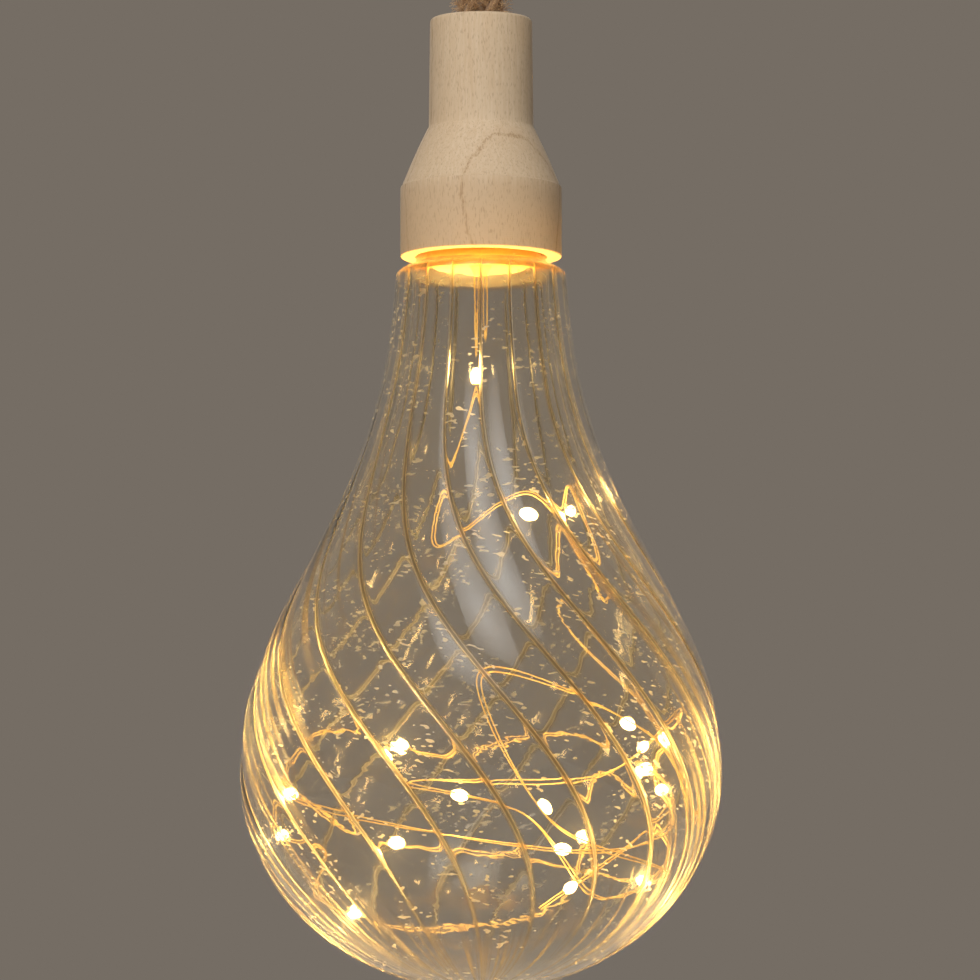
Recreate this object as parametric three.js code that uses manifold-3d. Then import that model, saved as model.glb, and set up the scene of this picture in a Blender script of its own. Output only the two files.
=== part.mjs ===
// Rope pendant lamp: a fluted glass bulb with a string of small lights, under a turned wooden cap on a
// rope loop. Millimetres, +Z up. The sizes below are written with z = 0 at the cap's open lower face, and
// the finished group is then set down so that the origin is the point of the rope loop on its hook.
import * as THREE from 'three';
import { mergeVertices } from 'three/addons/utils/BufferGeometryUtils.js';
import Module from 'manifold-3d';

const wasm = await Module();
wasm.setup();

// Clearances
const TOUCH_GAP = 0.3;
const CARRIER_CLEARANCE = 0.7;
const NECK_CLEARANCE = 0.5;

// Wooden cap
const CAP_HEIGHT = 76;
const CAP_SKIRT_RADIUS = 25.4;
const CAP_SKIRT_HEIGHT = 22;
const CAP_SHOULDER_STEP = 0.5;
const CAP_CONE_HEIGHT = 19;
const CAP_NECK_RADIUS = 16.5;
const CAP_TOP_RADIUS = 16.1;
const CAP_TOP_ROUND = 1.2;
const CAP_FOOT_CHAMFER = 0.5;
const CAP_TOP_WALL = 7.5;

// Rope
const ROPE_DIAMETER = 6.4;
const ROPE_LEG_GAP = 0.4;
const ROPE_RISE = 150;
const ROPE_LOOP_RADIUS = 13.4;
const ROPE_HOLE_CLEARANCE = 0.8;
const ROPE_SIDES = 10;
const ROPE_STEPS = 48;
const KNOT_HEIGHT = 9.4;
const KNOT_RADIUS = 10.5;
const KNOT_LOBES = 5;
const KNOT_LOBE_DEPTH = 0.6;
const KNOT_LOBE_TWIST = 2;
const WASHER_RADIUS = 11.5;
const WASHER_THICKNESS = 1.2;

// Glass bulb
const BULB_RADIUS = 75;
const BULB_WIDEST_DEPTH = 163;
const BULB_HEIGHT = 231;
const BULB_SHOULDER_RADIUS = 26.4;
const BULB_SHOULDER_DEPTH = 6;
const BULB_FLANK_LOWER_PULL = 56;
const BULB_FLANK_UPPER_PULL = 82;
const BULB_FLANK_SLOPE = 0.047;
const BULB_WALL = 1.8;
const NECK_RADIUS = 20.3;
const NECK_INSERT = 12;
const FLUTES = 18;
const FLUTE_DEPTH = 0.5;
const FLUTE_TWIST_DEG = 80;
const FLUTE_TWIST_START = 45;
const STEPS_PER_FLUTE = 4;

// Closing plug
const PLUG_DROP = 3;
const PLUG_FLOOR = 2.2;
const PLUG_WALL = 1.6;
const PLUG_EDGE = 0.5;
const FLANGE_HEIGHT = 3.6;
const FLANGE_LIP = 0.7;
const GRIP_RING_HALF_WIDTH = 0.6;
const GRIP_RING_HALF_HEIGHT = 0.8;
const LOCATING_RIB_HEIGHT = 2.8;
const LOCATING_RIB_WALL = 1.2;
const WIRE_CHANNEL_RADIUS = 1.7;
const SEAL_HEIGHT = 2.5;
const SEAL_TOP_RADIUS = 3.6;
const SEAL_END_RADIUS = 2.2;

// Battery cells and their carrier
const CELL_COUNT = 3;
const INVERTED_CELL = 1;
const CELL_RADIUS = 5.25;
const CELL_LENGTH = 44.5;
const CELL_BUTTON_RADIUS = 1.9;
const CELL_BUTTON_HEIGHT = 1.2;
const CELL_EDGE = 0.35;
const CELL_SPACING = 1.4;
const CARRIER_RADIUS = 12.4;
const CARRIER_DISC = 1.6;
const POST_RADIUS = 1.6;
const STRIP_THICKNESS = 0.4;
const STRIP_HALF_WIDTH = 1.8;
const END_STRIP_LENGTH = 2;
const SPRING_HEIGHT = 2.5;
const SPRING_WIRE = 0.5;
const SPRING_WIDE_RADIUS = 2.6;
const SPRING_NARROW_RADIUS = 1.5;
const SPRING_TURNS = 2;

// Circuit board, timer chip, switch, screws and leads
const BOARD_RADIUS = 11.8;
const BOARD_THICKNESS = 1;
const CHIP_SIZE = [4.9, 3.9, 1.5];
const CHIP_PLACE = [-1, 5];
const SWITCH_SIZE = [8.6, 3.6, 2.1];
const SWITCH_PLACE = [-1, -5];
const KNOB_SIZE = [2.2, 1.4, 2.6];
const SWITCH_STROKE = 2;
const SCREW_SHANK_RADIUS = 0.7;
const SCREW_SHANK_LENGTH = 5.6;
const SCREW_HEAD_RADIUS = 1.5;
const SCREW_HEAD_HEIGHT = 1;
const LEAD_RADIUS = 0.45;
const LEAD_SPACING = 1.3;

// Light string
const WIRE_DIAMETER = 0.9;
const WIRE_SIDES = 8;
const WIRE_STEPS = 78;
const STEPS_PER_LIGHT = 4;
const LIGHT_COUNT = 20;
const FIRST_LIGHT_STEP = 1;
const LIGHT_RADIUS = 1.5;
const LIGHT_HALF_LENGTH = 2.4;
const LIGHT_BORE_GAP = 0.35;

// Counts of faces round the turned pieces
const CAP_SEGMENTS = 40;
const PLUG_SEGMENTS = 32;
const SMALL_SEGMENTS = 16;
const TINY_SEGMENTS = 8;

// How far a drill starts outside what it cuts
const DRILL_OVERRUN = 1;

// The middle of a quarter round lies this share of its radius in from the two edges
const ROUND_MIDDLE = 1 - Math.SQRT1_2;

// Sizes that follow from the ones above
const capCeiling = CAP_HEIGHT - CAP_TOP_WALL;
const neckBore = NECK_RADIUS + NECK_CLEARANCE;
const neckInside = NECK_RADIUS - BULB_WALL;
const plugRadius = neckInside - TOUCH_GAP;
const plugFloorTop = PLUG_FLOOR - PLUG_DROP;
const flangeBottom = NECK_INSERT + TOUCH_GAP;
const flangeTop = flangeBottom + FLANGE_HEIGHT;
const neckBoreDepth = flangeTop + TOUCH_GAP;
const carrierBore = CARRIER_RADIUS + CARRIER_CLEARANCE;
const carrierBottom = plugFloorTop + TOUCH_GAP;
const carrierFloor = carrierBottom + CARRIER_DISC;
const lowerStripTop = carrierFloor + TOUCH_GAP + STRIP_THICKNESS;
const springSpace = TOUCH_GAP + SPRING_HEIGHT;
const cellSpace = TOUCH_GAP + CELL_LENGTH;
const upperStripBottom = lowerStripTop + springSpace + cellSpace + TOUCH_GAP;
const carrierCeiling = upperStripBottom + STRIP_THICKNESS + TOUCH_GAP;
const carrierTop = carrierCeiling + CARRIER_DISC;
const boardBottom = carrierTop + TOUCH_GAP;
const boardTop = boardBottom + BOARD_THICKNESS;
const cellCircle = (2 * CELL_RADIUS + CELL_SPACING) / Math.sqrt(3);
const postCircle = CARRIER_RADIUS - POST_RADIUS - TOUCH_GAP;
const screwHole = SCREW_SHANK_RADIUS + TOUCH_GAP;
const ropeLegOffset = (ROPE_DIAMETER + ROPE_LEG_GAP) / 2;
const ropeHole = ropeLegOffset + ROPE_DIAMETER / 2 + ROPE_HOLE_CLEARANCE;
const washerTop = capCeiling - TOUCH_GAP;
const washerBottom = washerTop - WASHER_THICKNESS;
const knotTop = washerBottom - TOUCH_GAP;
const sealTop = -PLUG_DROP - TOUCH_GAP;

// Route of the light string, from the plug's floor down to the first light and round inside the glass
const LIGHT_ROUTE = [
  [0, 0, -1.2],
  [-1, 0, -38], [-14, -18, -94],
  [15, -31, -79], [39, -14, -111],
  [29, 16, -70], [26, 34, -110],
  [54, 25, -141], [68, -6, -180],
  [51, -45, -155], [0, -60, -138],
  [20, -60, -182], [57, -17, -195],
  [51, 21, -196], [10, 58, -184],
  [-36, 46, -180], [-65, 4, -164],
  [-54, -38, -176], [-14, -59, -187],
  [35, -50, -192], [60, -4, -179],
  [56, 37, -158], [63, -10, -144],
  [36, -51, -169], [-22, -62, -172],
  [12, -63, -181], [36, -27, -204],
  [60, 19, -186], [38, 52, -158],
  [27, 41, -199], [-10, 45, -209],
  [-50, 16, -203], [-48, -34, -190],
  [-66, 6, -180], [-52, 44, -146],
  [-13, 66, -151], [26, 61, -144],
  [60, 16, -166], [47, -29, -187],
  [18, -46, -209],
];

// Finishes, as colour, roughness and metalness
const FINISHES = {
  wood: [0xc8ab80, 0.72, 0],
  jute: [0x8a6a47, 0.95, 0],
  steel: [0xb4b6b8, 0.35, 1],
  glass: [0xefe6d2, 0.05, 0],
  plug: [0xe9dfc6, 0.5, 0],
  rubber: [0x2b2b2b, 0.85, 0],
  blackPlastic: [0x1d1e20, 0.55, 0],
  whitePlastic: [0xe8e8e4, 0.45, 0],
  cellWrap: [0x3f6f8f, 0.35, 0.2],
  nickel: [0xc9c6bb, 0.3, 1],
  board: [0x2f6b3c, 0.5, 0],
  redLead: [0xa33028, 0.5, 0],
  blackLead: [0x202020, 0.5, 0],
  copper: [0xb87333, 0.35, 1],
  warmLight: [0xffd890, 0.25, 0],
};

function named(name, geometry, finish) {
  const [color, roughness, metalness] = FINISHES[finish];
  const material = new THREE.MeshStandardMaterial({ color, roughness, metalness });
  if (finish === 'glass') {
    material.transparent = true;
    material.opacity = 0.35;
  }
  const mesh = new THREE.Mesh(geometry, material);
  mesh.name = name;
  return mesh;
}

function at(mesh, x, y, z) {
  mesh.position.set(x, y, z);
  return mesh;
}

function group(...children) {
  const holder = new THREE.Group();
  holder.add(...children);
  return holder;
}

// A turned piece about Z, from anticlockwise [radius, z] points, from axis to axis or in a closed ring
function turned(profile, segments) {
  const points = profile.map(([r, z]) => new THREE.Vector2(r, z));
  const onAxis = profile[0][0] === 0;
  if (!onAxis) {
    points.push(points[0].clone());
  }
  const geometry = new THREE.LatheGeometry(points, segments);
  geometry.rotateX(Math.PI / 2);
  return geometry;
}

function disc(radius, height, segments) {
  const geometry = new THREE.CylinderGeometry(radius, radius, height, segments);
  geometry.rotateX(Math.PI / 2);
  geometry.translate(0, 0, height / 2);
  return geometry;
}

// A full circle in a shape is drawn with twice the number of curve segments
function tube(curve, radius, sides, steps) {
  const section = new THREE.Shape();
  section.absarc(0, 0, radius, 0, 2 * Math.PI, false);
  const options = { steps, curveSegments: sides / 2, bevelEnabled: false, extrudePath: curve };
  return new THREE.ExtrudeGeometry(section, options);
}

function onCircle(radius, degrees) {
  const angle = THREE.MathUtils.degToRad(degrees);
  return [radius * Math.cos(angle), radius * Math.sin(angle)];
}

// Joins and cuts
function toSolid(geometry) {
  const bare = geometry.index ? geometry.toNonIndexed() : geometry.clone();
  bare.deleteAttribute('normal');
  bare.deleteAttribute('uv');
  const merged = mergeVertices(bare, 1e-4);
  const vertProperties = new Float32Array(merged.attributes.position.array);
  const triVerts = new Uint32Array(merged.index.array);
  return new wasm.Manifold(new wasm.Mesh({ numProp: 3, vertProperties, triVerts }));
}

function toGeometry(solid) {
  const mesh = solid.getMesh();
  const geometry = new THREE.BufferGeometry();
  geometry.setAttribute('position', new THREE.BufferAttribute(new Float32Array(mesh.vertProperties), 3));
  geometry.setIndex(new THREE.BufferAttribute(new Uint32Array(mesh.triVerts), 1));
  geometry.computeVertexNormals();
  return geometry;
}

// Rope, knot and washer
function ropeCurve() {
  const loopCentre = ROPE_RISE + ROPE_DIAMETER / 2 - ROPE_LOOP_RADIUS;
  const legHeights = [0.06, 0.2, 0.4, 0.6, 0.8, 0.94];
  const spread = ROPE_LOOP_RADIUS - ropeLegOffset;
  const legPoint = (side, share) => [side * (ropeLegOffset + spread * share), share * loopCentre];
  const leg = (side) => legHeights.map((share) => legPoint(side, share));
  const loopAngles = [180, 150, 120, 90, 60, 30, 0];
  const top = loopAngles.map((degrees) => {
    const [x, z] = onCircle(ROPE_LOOP_RADIUS, degrees);
    return [x, loopCentre + z];
  });
  const start = knotTop + TOUCH_GAP - CAP_HEIGHT;
  const foot = (side) => [start, start / 2, 0].map((z) => [side * ropeLegOffset, z]);
  const route = [...foot(-1), ...leg(-1), ...top, ...leg(1).reverse(), ...foot(1).reverse()];
  return new THREE.CatmullRomCurve3(route.map(([x, z]) => new THREE.Vector3(x, 0, CAP_HEIGHT + z)));
}

function hangingRope() {
  return named('hanging_rope', tube(ropeCurve(), ROPE_DIAMETER / 2, ROPE_SIDES, ROPE_STEPS), 'jute');
}

function stopperKnot() {
  const geometry = new THREE.SphereGeometry(1, SMALL_SEGMENTS, SMALL_SEGMENTS / 2);
  geometry.rotateX(Math.PI / 2);
  const position = geometry.attributes.position;
  for (let i = 0; i < position.count; i += 1) {
    const [x, y, z] = [position.getX(i), position.getY(i), position.getZ(i)];
    const flat = Math.hypot(x, y);
    const lobe = KNOT_LOBE_DEPTH * flat * Math.cos(KNOT_LOBES * Math.atan2(y, x) + KNOT_LOBE_TWIST * z);
    const reach = KNOT_RADIUS - KNOT_LOBE_DEPTH + lobe;
    position.setXYZ(i, x * reach, y * reach, z * KNOT_HEIGHT / 2);
  }
  return at(named('stopper_knot', geometry, 'jute'), 0, 0, knotTop - KNOT_HEIGHT / 2);
}

function knotWasher() {
  const profile = [
    [ropeHole, 0],
    [WASHER_RADIUS, 0],
    [WASHER_RADIUS, WASHER_THICKNESS],
    [ropeHole, WASHER_THICKNESS],
  ];
  return at(named('knot_washer', turned(profile, SMALL_SEGMENTS), 'steel'), 0, 0, washerBottom);
}

// Wooden cap, bored for the carrier above and for the bulb's neck below
function woodenCap() {
  const coneTop = CAP_SKIRT_HEIGHT + CAP_CONE_HEIGHT;
  const profile = [
    [neckBore, 0],
    [CAP_SKIRT_RADIUS - CAP_FOOT_CHAMFER, 0],
    [CAP_SKIRT_RADIUS, CAP_FOOT_CHAMFER],
    [CAP_SKIRT_RADIUS, CAP_SKIRT_HEIGHT],
    [CAP_SKIRT_RADIUS - CAP_SHOULDER_STEP, CAP_SKIRT_HEIGHT + CAP_SHOULDER_STEP],
    [CAP_NECK_RADIUS + CAP_SHOULDER_STEP, coneTop - CAP_SHOULDER_STEP],
    [CAP_NECK_RADIUS, coneTop + CAP_SHOULDER_STEP],
    [CAP_TOP_RADIUS, CAP_HEIGHT - CAP_TOP_ROUND],
    [CAP_TOP_RADIUS - ROUND_MIDDLE * CAP_TOP_ROUND, CAP_HEIGHT - ROUND_MIDDLE * CAP_TOP_ROUND],
    [CAP_TOP_RADIUS - CAP_TOP_ROUND, CAP_HEIGHT],
    [ropeHole, CAP_HEIGHT],
    [ropeHole, capCeiling],
    [carrierBore, capCeiling],
    [carrierBore, neckBoreDepth],
    [neckBore, neckBoreDepth],
  ];
  return named('wooden_cap', turned(profile, CAP_SEGMENTS), 'wood');
}

// Glass bulb. From the pole up, its outline is a half ellipse, a long flank, a round shoulder and a neck
function bulbOutline() {
  const lean = new THREE.Vector2(BULB_FLANK_SLOPE, -1).setLength(BULB_FLANK_UPPER_PULL);
  const widest = new THREE.Vector2(BULB_RADIUS, -BULB_WIDEST_DEPTH);
  const shoulder = new THREE.Vector2(BULB_SHOULDER_RADIUS, -BULB_SHOULDER_DEPTH);
  const neck = new THREE.Vector2(NECK_RADIUS, -NECK_CLEARANCE);
  const belowWidest = BULB_HEIGHT - BULB_WIDEST_DEPTH;
  const belly = new THREE.EllipseCurve(0, widest.y, BULB_RADIUS, belowWidest, -Math.PI / 2, 0);
  const flank = new THREE.CubicBezierCurve(
    widest,
    new THREE.Vector2(BULB_RADIUS, widest.y + BULB_FLANK_LOWER_PULL),
    shoulder.clone().add(lean),
    shoulder,
  );
  const shoulderPull = BULB_SHOULDER_DEPTH / 2;
  const round = new THREE.CubicBezierCurve(
    shoulder,
    new THREE.Vector2(BULB_SHOULDER_RADIUS, shoulder.y + shoulderPull),
    new THREE.Vector2(NECK_RADIUS, neck.y - shoulderPull),
    neck,
  );
  return [
    ...belly.getPoints(8),
    ...flank.getPoints(10).slice(1),
    ...round.getPoints(4).slice(1),
    new THREE.Vector2(NECK_RADIUS, NECK_INSERT),
  ];
}

function fluteWave(angle, depthBelowCap) {
  const share = THREE.MathUtils.smoothstep(depthBelowCap, FLUTE_TWIST_START, BULB_HEIGHT);
  const twist = THREE.MathUtils.degToRad(FLUTE_TWIST_DEG) * share;
  return Math.cos(FLUTES * (angle - twist));
}

function fluteDepth(depthBelowCap) {
  const fromShoulder = THREE.MathUtils.smoothstep(depthBelowCap, 0, 2 * BULB_SHOULDER_DEPTH);
  const toPole = 1 - THREE.MathUtils.smoothstep(depthBelowCap, BULB_WIDEST_DEPTH, BULB_HEIGHT);
  return FLUTE_DEPTH * fromShoulder * toPole;
}

// Rows of vertices round Z for one surface of the bulb, from just above the pole to the neck's rim
function bulbRows(outline, inset) {
  const around = FLUTES * STEPS_PER_FLUTE;
  const rows = [];
  for (let i = 1; i < outline.length; i += 1) {
    const before = outline[i - 1];
    const after = outline[Math.min(i + 1, outline.length - 1)];
    const along = after.clone().sub(before).normalize();
    const atRim = i === outline.length - 1;
    const radius = outline[i].x - inset * (atRim ? 1 : along.y);
    const z = outline[i].y + inset * (atRim ? 0 : along.x);
    const depth = Math.max(0, -z);
    const row = [];
    for (let j = 0; j < around; j += 1) {
      const angle = 2 * Math.PI * j / around;
      const r = radius + fluteDepth(depth) * fluteWave(angle, depth);
      row.push([r * Math.cos(angle), r * Math.sin(angle), z]);
    }
    rows.push(row);
  }
  return rows;
}

function glassBulb() {
  const outline = bulbOutline();
  const outside = bulbRows(outline, 0);
  const inside = bulbRows(outline, BULB_WALL).reverse();
  const rows = [...outside, ...inside];
  const around = FLUTES * STEPS_PER_FLUTE;
  const positions = [[0, 0, -BULB_HEIGHT], ...rows.flat(), [0, 0, BULB_WALL - BULB_HEIGHT]];
  const last = positions.length - 1;
  const vertex = (row, step) => 1 + row * around + step % around;
  const index = [];
  for (let j = 0; j < around; j += 1) {
    index.push(0, vertex(0, j + 1), vertex(0, j));
    for (let i = 0; i + 1 < rows.length; i += 1) {
      index.push(vertex(i, j), vertex(i, j + 1), vertex(i + 1, j + 1));
      index.push(vertex(i, j), vertex(i + 1, j + 1), vertex(i + 1, j));
    }
    index.push(last, vertex(rows.length - 1, j), vertex(rows.length - 1, j + 1));
  }
  const geometry = new THREE.BufferGeometry();
  geometry.setAttribute('position', new THREE.Float32BufferAttribute(positions.flat(), 3));
  geometry.setIndex(index);
  geometry.computeVertexNormals();
  return named('glass_bulb', geometry, 'glass');
}

// Closing plug with a flange on the neck's rim and a groove for the grip ring
function neckPlug() {
  const grooveBottom = flangeBottom + FLANGE_LIP;
  const grooveTop = flangeTop - FLANGE_LIP;
  const grooveRadius = NECK_RADIUS - TOUCH_GAP - 2 * GRIP_RING_HALF_WIDTH;
  const ribInside = CARRIER_RADIUS + TOUCH_GAP;
  const ribOutside = ribInside + LOCATING_RIB_WALL;
  const ribTop = plugFloorTop + LOCATING_RIB_HEIGHT;
  const profile = [
    [WIRE_CHANNEL_RADIUS, -PLUG_DROP],
    [plugRadius - PLUG_EDGE, -PLUG_DROP],
    [plugRadius, PLUG_EDGE - PLUG_DROP],
    [plugRadius, flangeBottom],
    [NECK_RADIUS, flangeBottom],
    [NECK_RADIUS, grooveBottom],
    [grooveRadius, grooveBottom],
    [grooveRadius, grooveTop],
    [NECK_RADIUS, grooveTop],
    [NECK_RADIUS, flangeTop],
    [plugRadius - PLUG_WALL, flangeTop],
    [plugRadius - PLUG_WALL, plugFloorTop],
    [ribOutside, plugFloorTop],
    [ribOutside, ribTop],
    [ribInside, ribTop],
    [ribInside, plugFloorTop],
    [WIRE_CHANNEL_RADIUS, plugFloorTop],
  ];
  return named('neck_plug', turned(profile, PLUG_SEGMENTS), 'plug');
}

function gripRing() {
  const centre = neckBore - TOUCH_GAP - GRIP_RING_HALF_WIDTH;
  const profile = [];
  for (let step = 0; step < TINY_SEGMENTS; step += 1) {
    const angle = 2 * Math.PI * step / TINY_SEGMENTS;
    profile.push([centre + GRIP_RING_HALF_WIDTH * Math.cos(angle), GRIP_RING_HALF_HEIGHT * Math.sin(angle)]);
  }
  const middle = (flangeBottom + flangeTop) / 2;
  return at(named('grip_ring', turned(profile, PLUG_SEGMENTS), 'rubber'), 0, 0, middle);
}

function wireSeal() {
  const bore = WIRE_DIAMETER / 2 + LIGHT_BORE_GAP;
  const profile = [
    [bore, sealTop - SEAL_HEIGHT],
    [SEAL_END_RADIUS, sealTop - SEAL_HEIGHT],
    [SEAL_TOP_RADIUS, sealTop],
    [bore, sealTop],
  ];
  return named('wire_seal', turned(profile, SMALL_SEGMENTS), 'plug');
}

// Carrier: two discs on three posts, drilled for the leads and for the board's screws
function postPlaces() {
  const places = [];
  for (let i = 0; i < CELL_COUNT; i += 1) {
    places.push(onCircle(postCircle, (i + 0.5) * 360 / CELL_COUNT));
  }
  return places;
}

function cellPlaces() {
  const places = [];
  for (let i = 0; i < CELL_COUNT; i += 1) {
    places.push(onCircle(cellCircle, i * 360 / CELL_COUNT));
  }
  return places;
}

function batteryCarrier() {
  const height = carrierTop - carrierBottom;
  const endDisc = () => disc(CARRIER_RADIUS, CARRIER_DISC, PLUG_SEGMENTS);
  const lower = toSolid(endDisc());
  const upper = toSolid(endDisc().translate(0, 0, height - CARRIER_DISC));
  const channelDrill = disc(WIRE_CHANNEL_RADIUS, height + 2 * DRILL_OVERRUN, TINY_SEGMENTS);
  const channel = toSolid(channelDrill.translate(0, 0, -DRILL_OVERRUN));
  const drillDepth = SCREW_SHANK_LENGTH - BOARD_THICKNESS;
  let body = lower.add(upper);
  for (const [x, y] of postPlaces()) {
    const post = disc(POST_RADIUS, height - CARRIER_DISC, TINY_SEGMENTS);
    body = body.add(toSolid(post.translate(x, y, CARRIER_DISC / 2)));
  }
  for (const [x, y] of postPlaces()) {
    const drill = disc(screwHole, drillDepth + DRILL_OVERRUN, TINY_SEGMENTS);
    body = body.subtract(toSolid(drill.translate(x, y, height - drillDepth)));
  }
  const carrier = named('battery_carrier', toGeometry(body.subtract(channel)), 'blackPlastic');
  return at(carrier, 0, 0, carrierBottom);
}

function cellGeometry() {
  const can = CELL_LENGTH - CELL_BUTTON_HEIGHT;
  return turned([
    [0, 0],
    [CELL_RADIUS - CELL_EDGE, 0],
    [CELL_RADIUS, CELL_EDGE],
    [CELL_RADIUS, can - CELL_EDGE],
    [CELL_RADIUS - CELL_EDGE, can],
    [CELL_BUTTON_RADIUS, can],
    [CELL_BUTTON_RADIUS, CELL_LENGTH],
    [0, CELL_LENGTH],
  ], SMALL_SEGMENTS);
}

// The middle cell stands on its button, so the three are in series
function cells() {
  return cellPlaces().map(([x, y], i) => {
    const inverted = i === INVERTED_CELL;
    const geometry = cellGeometry();
    if (inverted) {
      geometry.rotateX(Math.PI);
      geometry.translate(0, 0, CELL_LENGTH);
    }
    const bottom = lowerStripTop + TOUCH_GAP + (inverted ? 0 : springSpace);
    return at(named(`battery_cell_${i + 1}`, geometry, 'cellWrap'), x, y, bottom);
  });
}

class ConicalHelix extends THREE.Curve {
  getPoint(t, target = new THREE.Vector3()) {
    const radius = THREE.MathUtils.lerp(SPRING_WIDE_RADIUS, SPRING_NARROW_RADIUS, t);
    const angle = 2 * Math.PI * SPRING_TURNS * t;
    const rise = SPRING_WIRE / 2 + (SPRING_HEIGHT - SPRING_WIRE) * t;
    return target.set(radius * Math.cos(angle), radius * Math.sin(angle), rise);
  }
}

function contactSprings() {
  const stepsPerTurn = 8;
  return cellPlaces().map(([x, y], i) => {
    const geometry = tube(new ConicalHelix(), SPRING_WIRE / 2, 6, SPRING_TURNS * stepsPerTurn);
    const inverted = i === INVERTED_CELL;
    if (inverted) {
      geometry.rotateX(Math.PI);
    }
    const base = inverted ? upperStripBottom - TOUCH_GAP : lowerStripTop + TOUCH_GAP;
    return at(named(`contact_spring_${i + 1}`, geometry, 'steel'), x, y, base);
  });
}

// A flat strip with round ends, from one cell's axis to another's
function strip(name, from, to, z) {
  const [x, y] = from;
  const length = Math.hypot(to[0] - x, to[1] - y);
  const angle = Math.atan2(to[1] - y, to[0] - x);
  const shape = new THREE.Shape();
  shape.absarc(0, 0, STRIP_HALF_WIDTH, Math.PI / 2, 3 * Math.PI / 2, false);
  shape.absarc(length, 0, STRIP_HALF_WIDTH, -Math.PI / 2, Math.PI / 2, false);
  const options = { depth: STRIP_THICKNESS, bevelEnabled: false, curveSegments: TINY_SEGMENTS / 2 };
  const mesh = at(named(name, new THREE.ExtrudeGeometry(shape, options), 'nickel'), x, y, z);
  mesh.rotation.z = angle;
  return mesh;
}

function contactStrips() {
  const [first, second, third] = cellPlaces();
  const lower = carrierFloor + TOUCH_GAP;
  const reach = 1 + END_STRIP_LENGTH / cellCircle;
  const outwards = ([x, y]) => [x * reach, y * reach];
  return [
    strip('lower_bridge_strip', first, second, lower),
    strip('lower_end_strip', third, outwards(third), lower),
    strip('upper_bridge_strip', second, third, upperStripBottom),
    strip('upper_end_strip', first, outwards(first), upperStripBottom),
  ];
}

// Board and what stands on it
function circuitBoard() {
  const shape = new THREE.Shape();
  shape.absarc(0, 0, BOARD_RADIUS, 0, 2 * Math.PI, false);
  for (const [x, y] of postPlaces()) {
    const hole = new THREE.Path();
    hole.absarc(x, y, screwHole, 0, 2 * Math.PI, true);
    shape.holes.push(hole);
  }
  const options = { depth: BOARD_THICKNESS, bevelEnabled: false, curveSegments: TINY_SEGMENTS };
  return at(named('circuit_board', new THREE.ExtrudeGeometry(shape, options), 'board'), 0, 0, boardBottom);
}

function timerChip() {
  const base = boardTop + TOUCH_GAP;
  const mesh = named('timer_chip', new THREE.BoxGeometry(...CHIP_SIZE), 'blackPlastic');
  return at(mesh, ...CHIP_PLACE, base + CHIP_SIZE[2] / 2);
}

function rectangle(Kind, width, height) {
  const path = new Kind();
  path.moveTo(-width / 2, -height / 2);
  path.lineTo(width / 2, -height / 2);
  path.lineTo(width / 2, height / 2);
  path.lineTo(-width / 2, height / 2);
  path.closePath();
  return path;
}

function switchBody() {
  const [length, width, height] = SWITCH_SIZE;
  const slotLength = KNOB_SIZE[0] + 2 * (SWITCH_STROKE + TOUCH_GAP);
  const slotWidth = KNOB_SIZE[1] + 2 * TOUCH_GAP;
  const shape = rectangle(THREE.Shape, length, width);
  shape.holes.push(rectangle(THREE.Path, slotLength, slotWidth));
  const geometry = new THREE.ExtrudeGeometry(shape, { depth: height, bevelEnabled: false });
  return at(named('switch_body', geometry, 'steel'), ...SWITCH_PLACE, boardTop + TOUCH_GAP);
}

function switchKnob() {
  const base = boardTop + TOUCH_GAP;
  const mesh = named('switch_knob', new THREE.BoxGeometry(...KNOB_SIZE), 'whitePlastic');
  return at(mesh, ...SWITCH_PLACE, base + KNOB_SIZE[2] / 2);
}

function boardScrews() {
  const profile = [
    [0, -SCREW_SHANK_LENGTH],
    [SCREW_SHANK_RADIUS, -SCREW_SHANK_LENGTH],
    [SCREW_SHANK_RADIUS, 0],
    [SCREW_HEAD_RADIUS, 0],
    [SCREW_HEAD_RADIUS, SCREW_HEAD_HEIGHT],
    [0, SCREW_HEAD_HEIGHT],
  ];
  return postPlaces().map(([x, y], i) => {
    const mesh = named(`board_screw_${i + 1}`, turned(profile, TINY_SEGMENTS), 'steel');
    return at(mesh, x, y, boardTop + TOUCH_GAP);
  });
}

function leads() {
  const bottom = LIGHT_ROUTE[0][2] + TOUCH_GAP;
  const length = boardBottom - TOUCH_GAP - bottom;
  const one = (name, side, finish) => {
    const mesh = named(name, disc(LEAD_RADIUS, length, TINY_SEGMENTS), finish);
    return at(mesh, side * LEAD_SPACING / 2, 0, bottom);
  };
  return [one('positive_lead', 1, 'redLead'), one('negative_lead', -1, 'blackLead')];
}

// Light string: one wire tube, and a drop of clear resin with its light at every fourth step
function lightCurve() {
  const points = LIGHT_ROUTE.map((point) => new THREE.Vector3(...point));
  const curve = new THREE.CatmullRomCurve3(points);
  curve.arcLengthDivisions = 100 * LIGHT_ROUTE.length;
  return curve;
}

function lightWire(curve) {
  return named('light_wire', tube(curve, WIRE_DIAMETER / 2, WIRE_SIDES, WIRE_STEPS), 'copper');
}

function lightProfile() {
  const bore = WIRE_DIAMETER / 2 + LIGHT_BORE_GAP;
  const reach = Math.acos(bore / LIGHT_RADIUS);
  const profile = [];
  const arcSteps = 4;
  for (let i = 0; i <= arcSteps; i += 1) {
    const angle = reach * (2 * i / arcSteps - 1);
    profile.push([LIGHT_RADIUS * Math.cos(angle), LIGHT_HALF_LENGTH * Math.sin(angle)]);
  }
  return profile;
}

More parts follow.
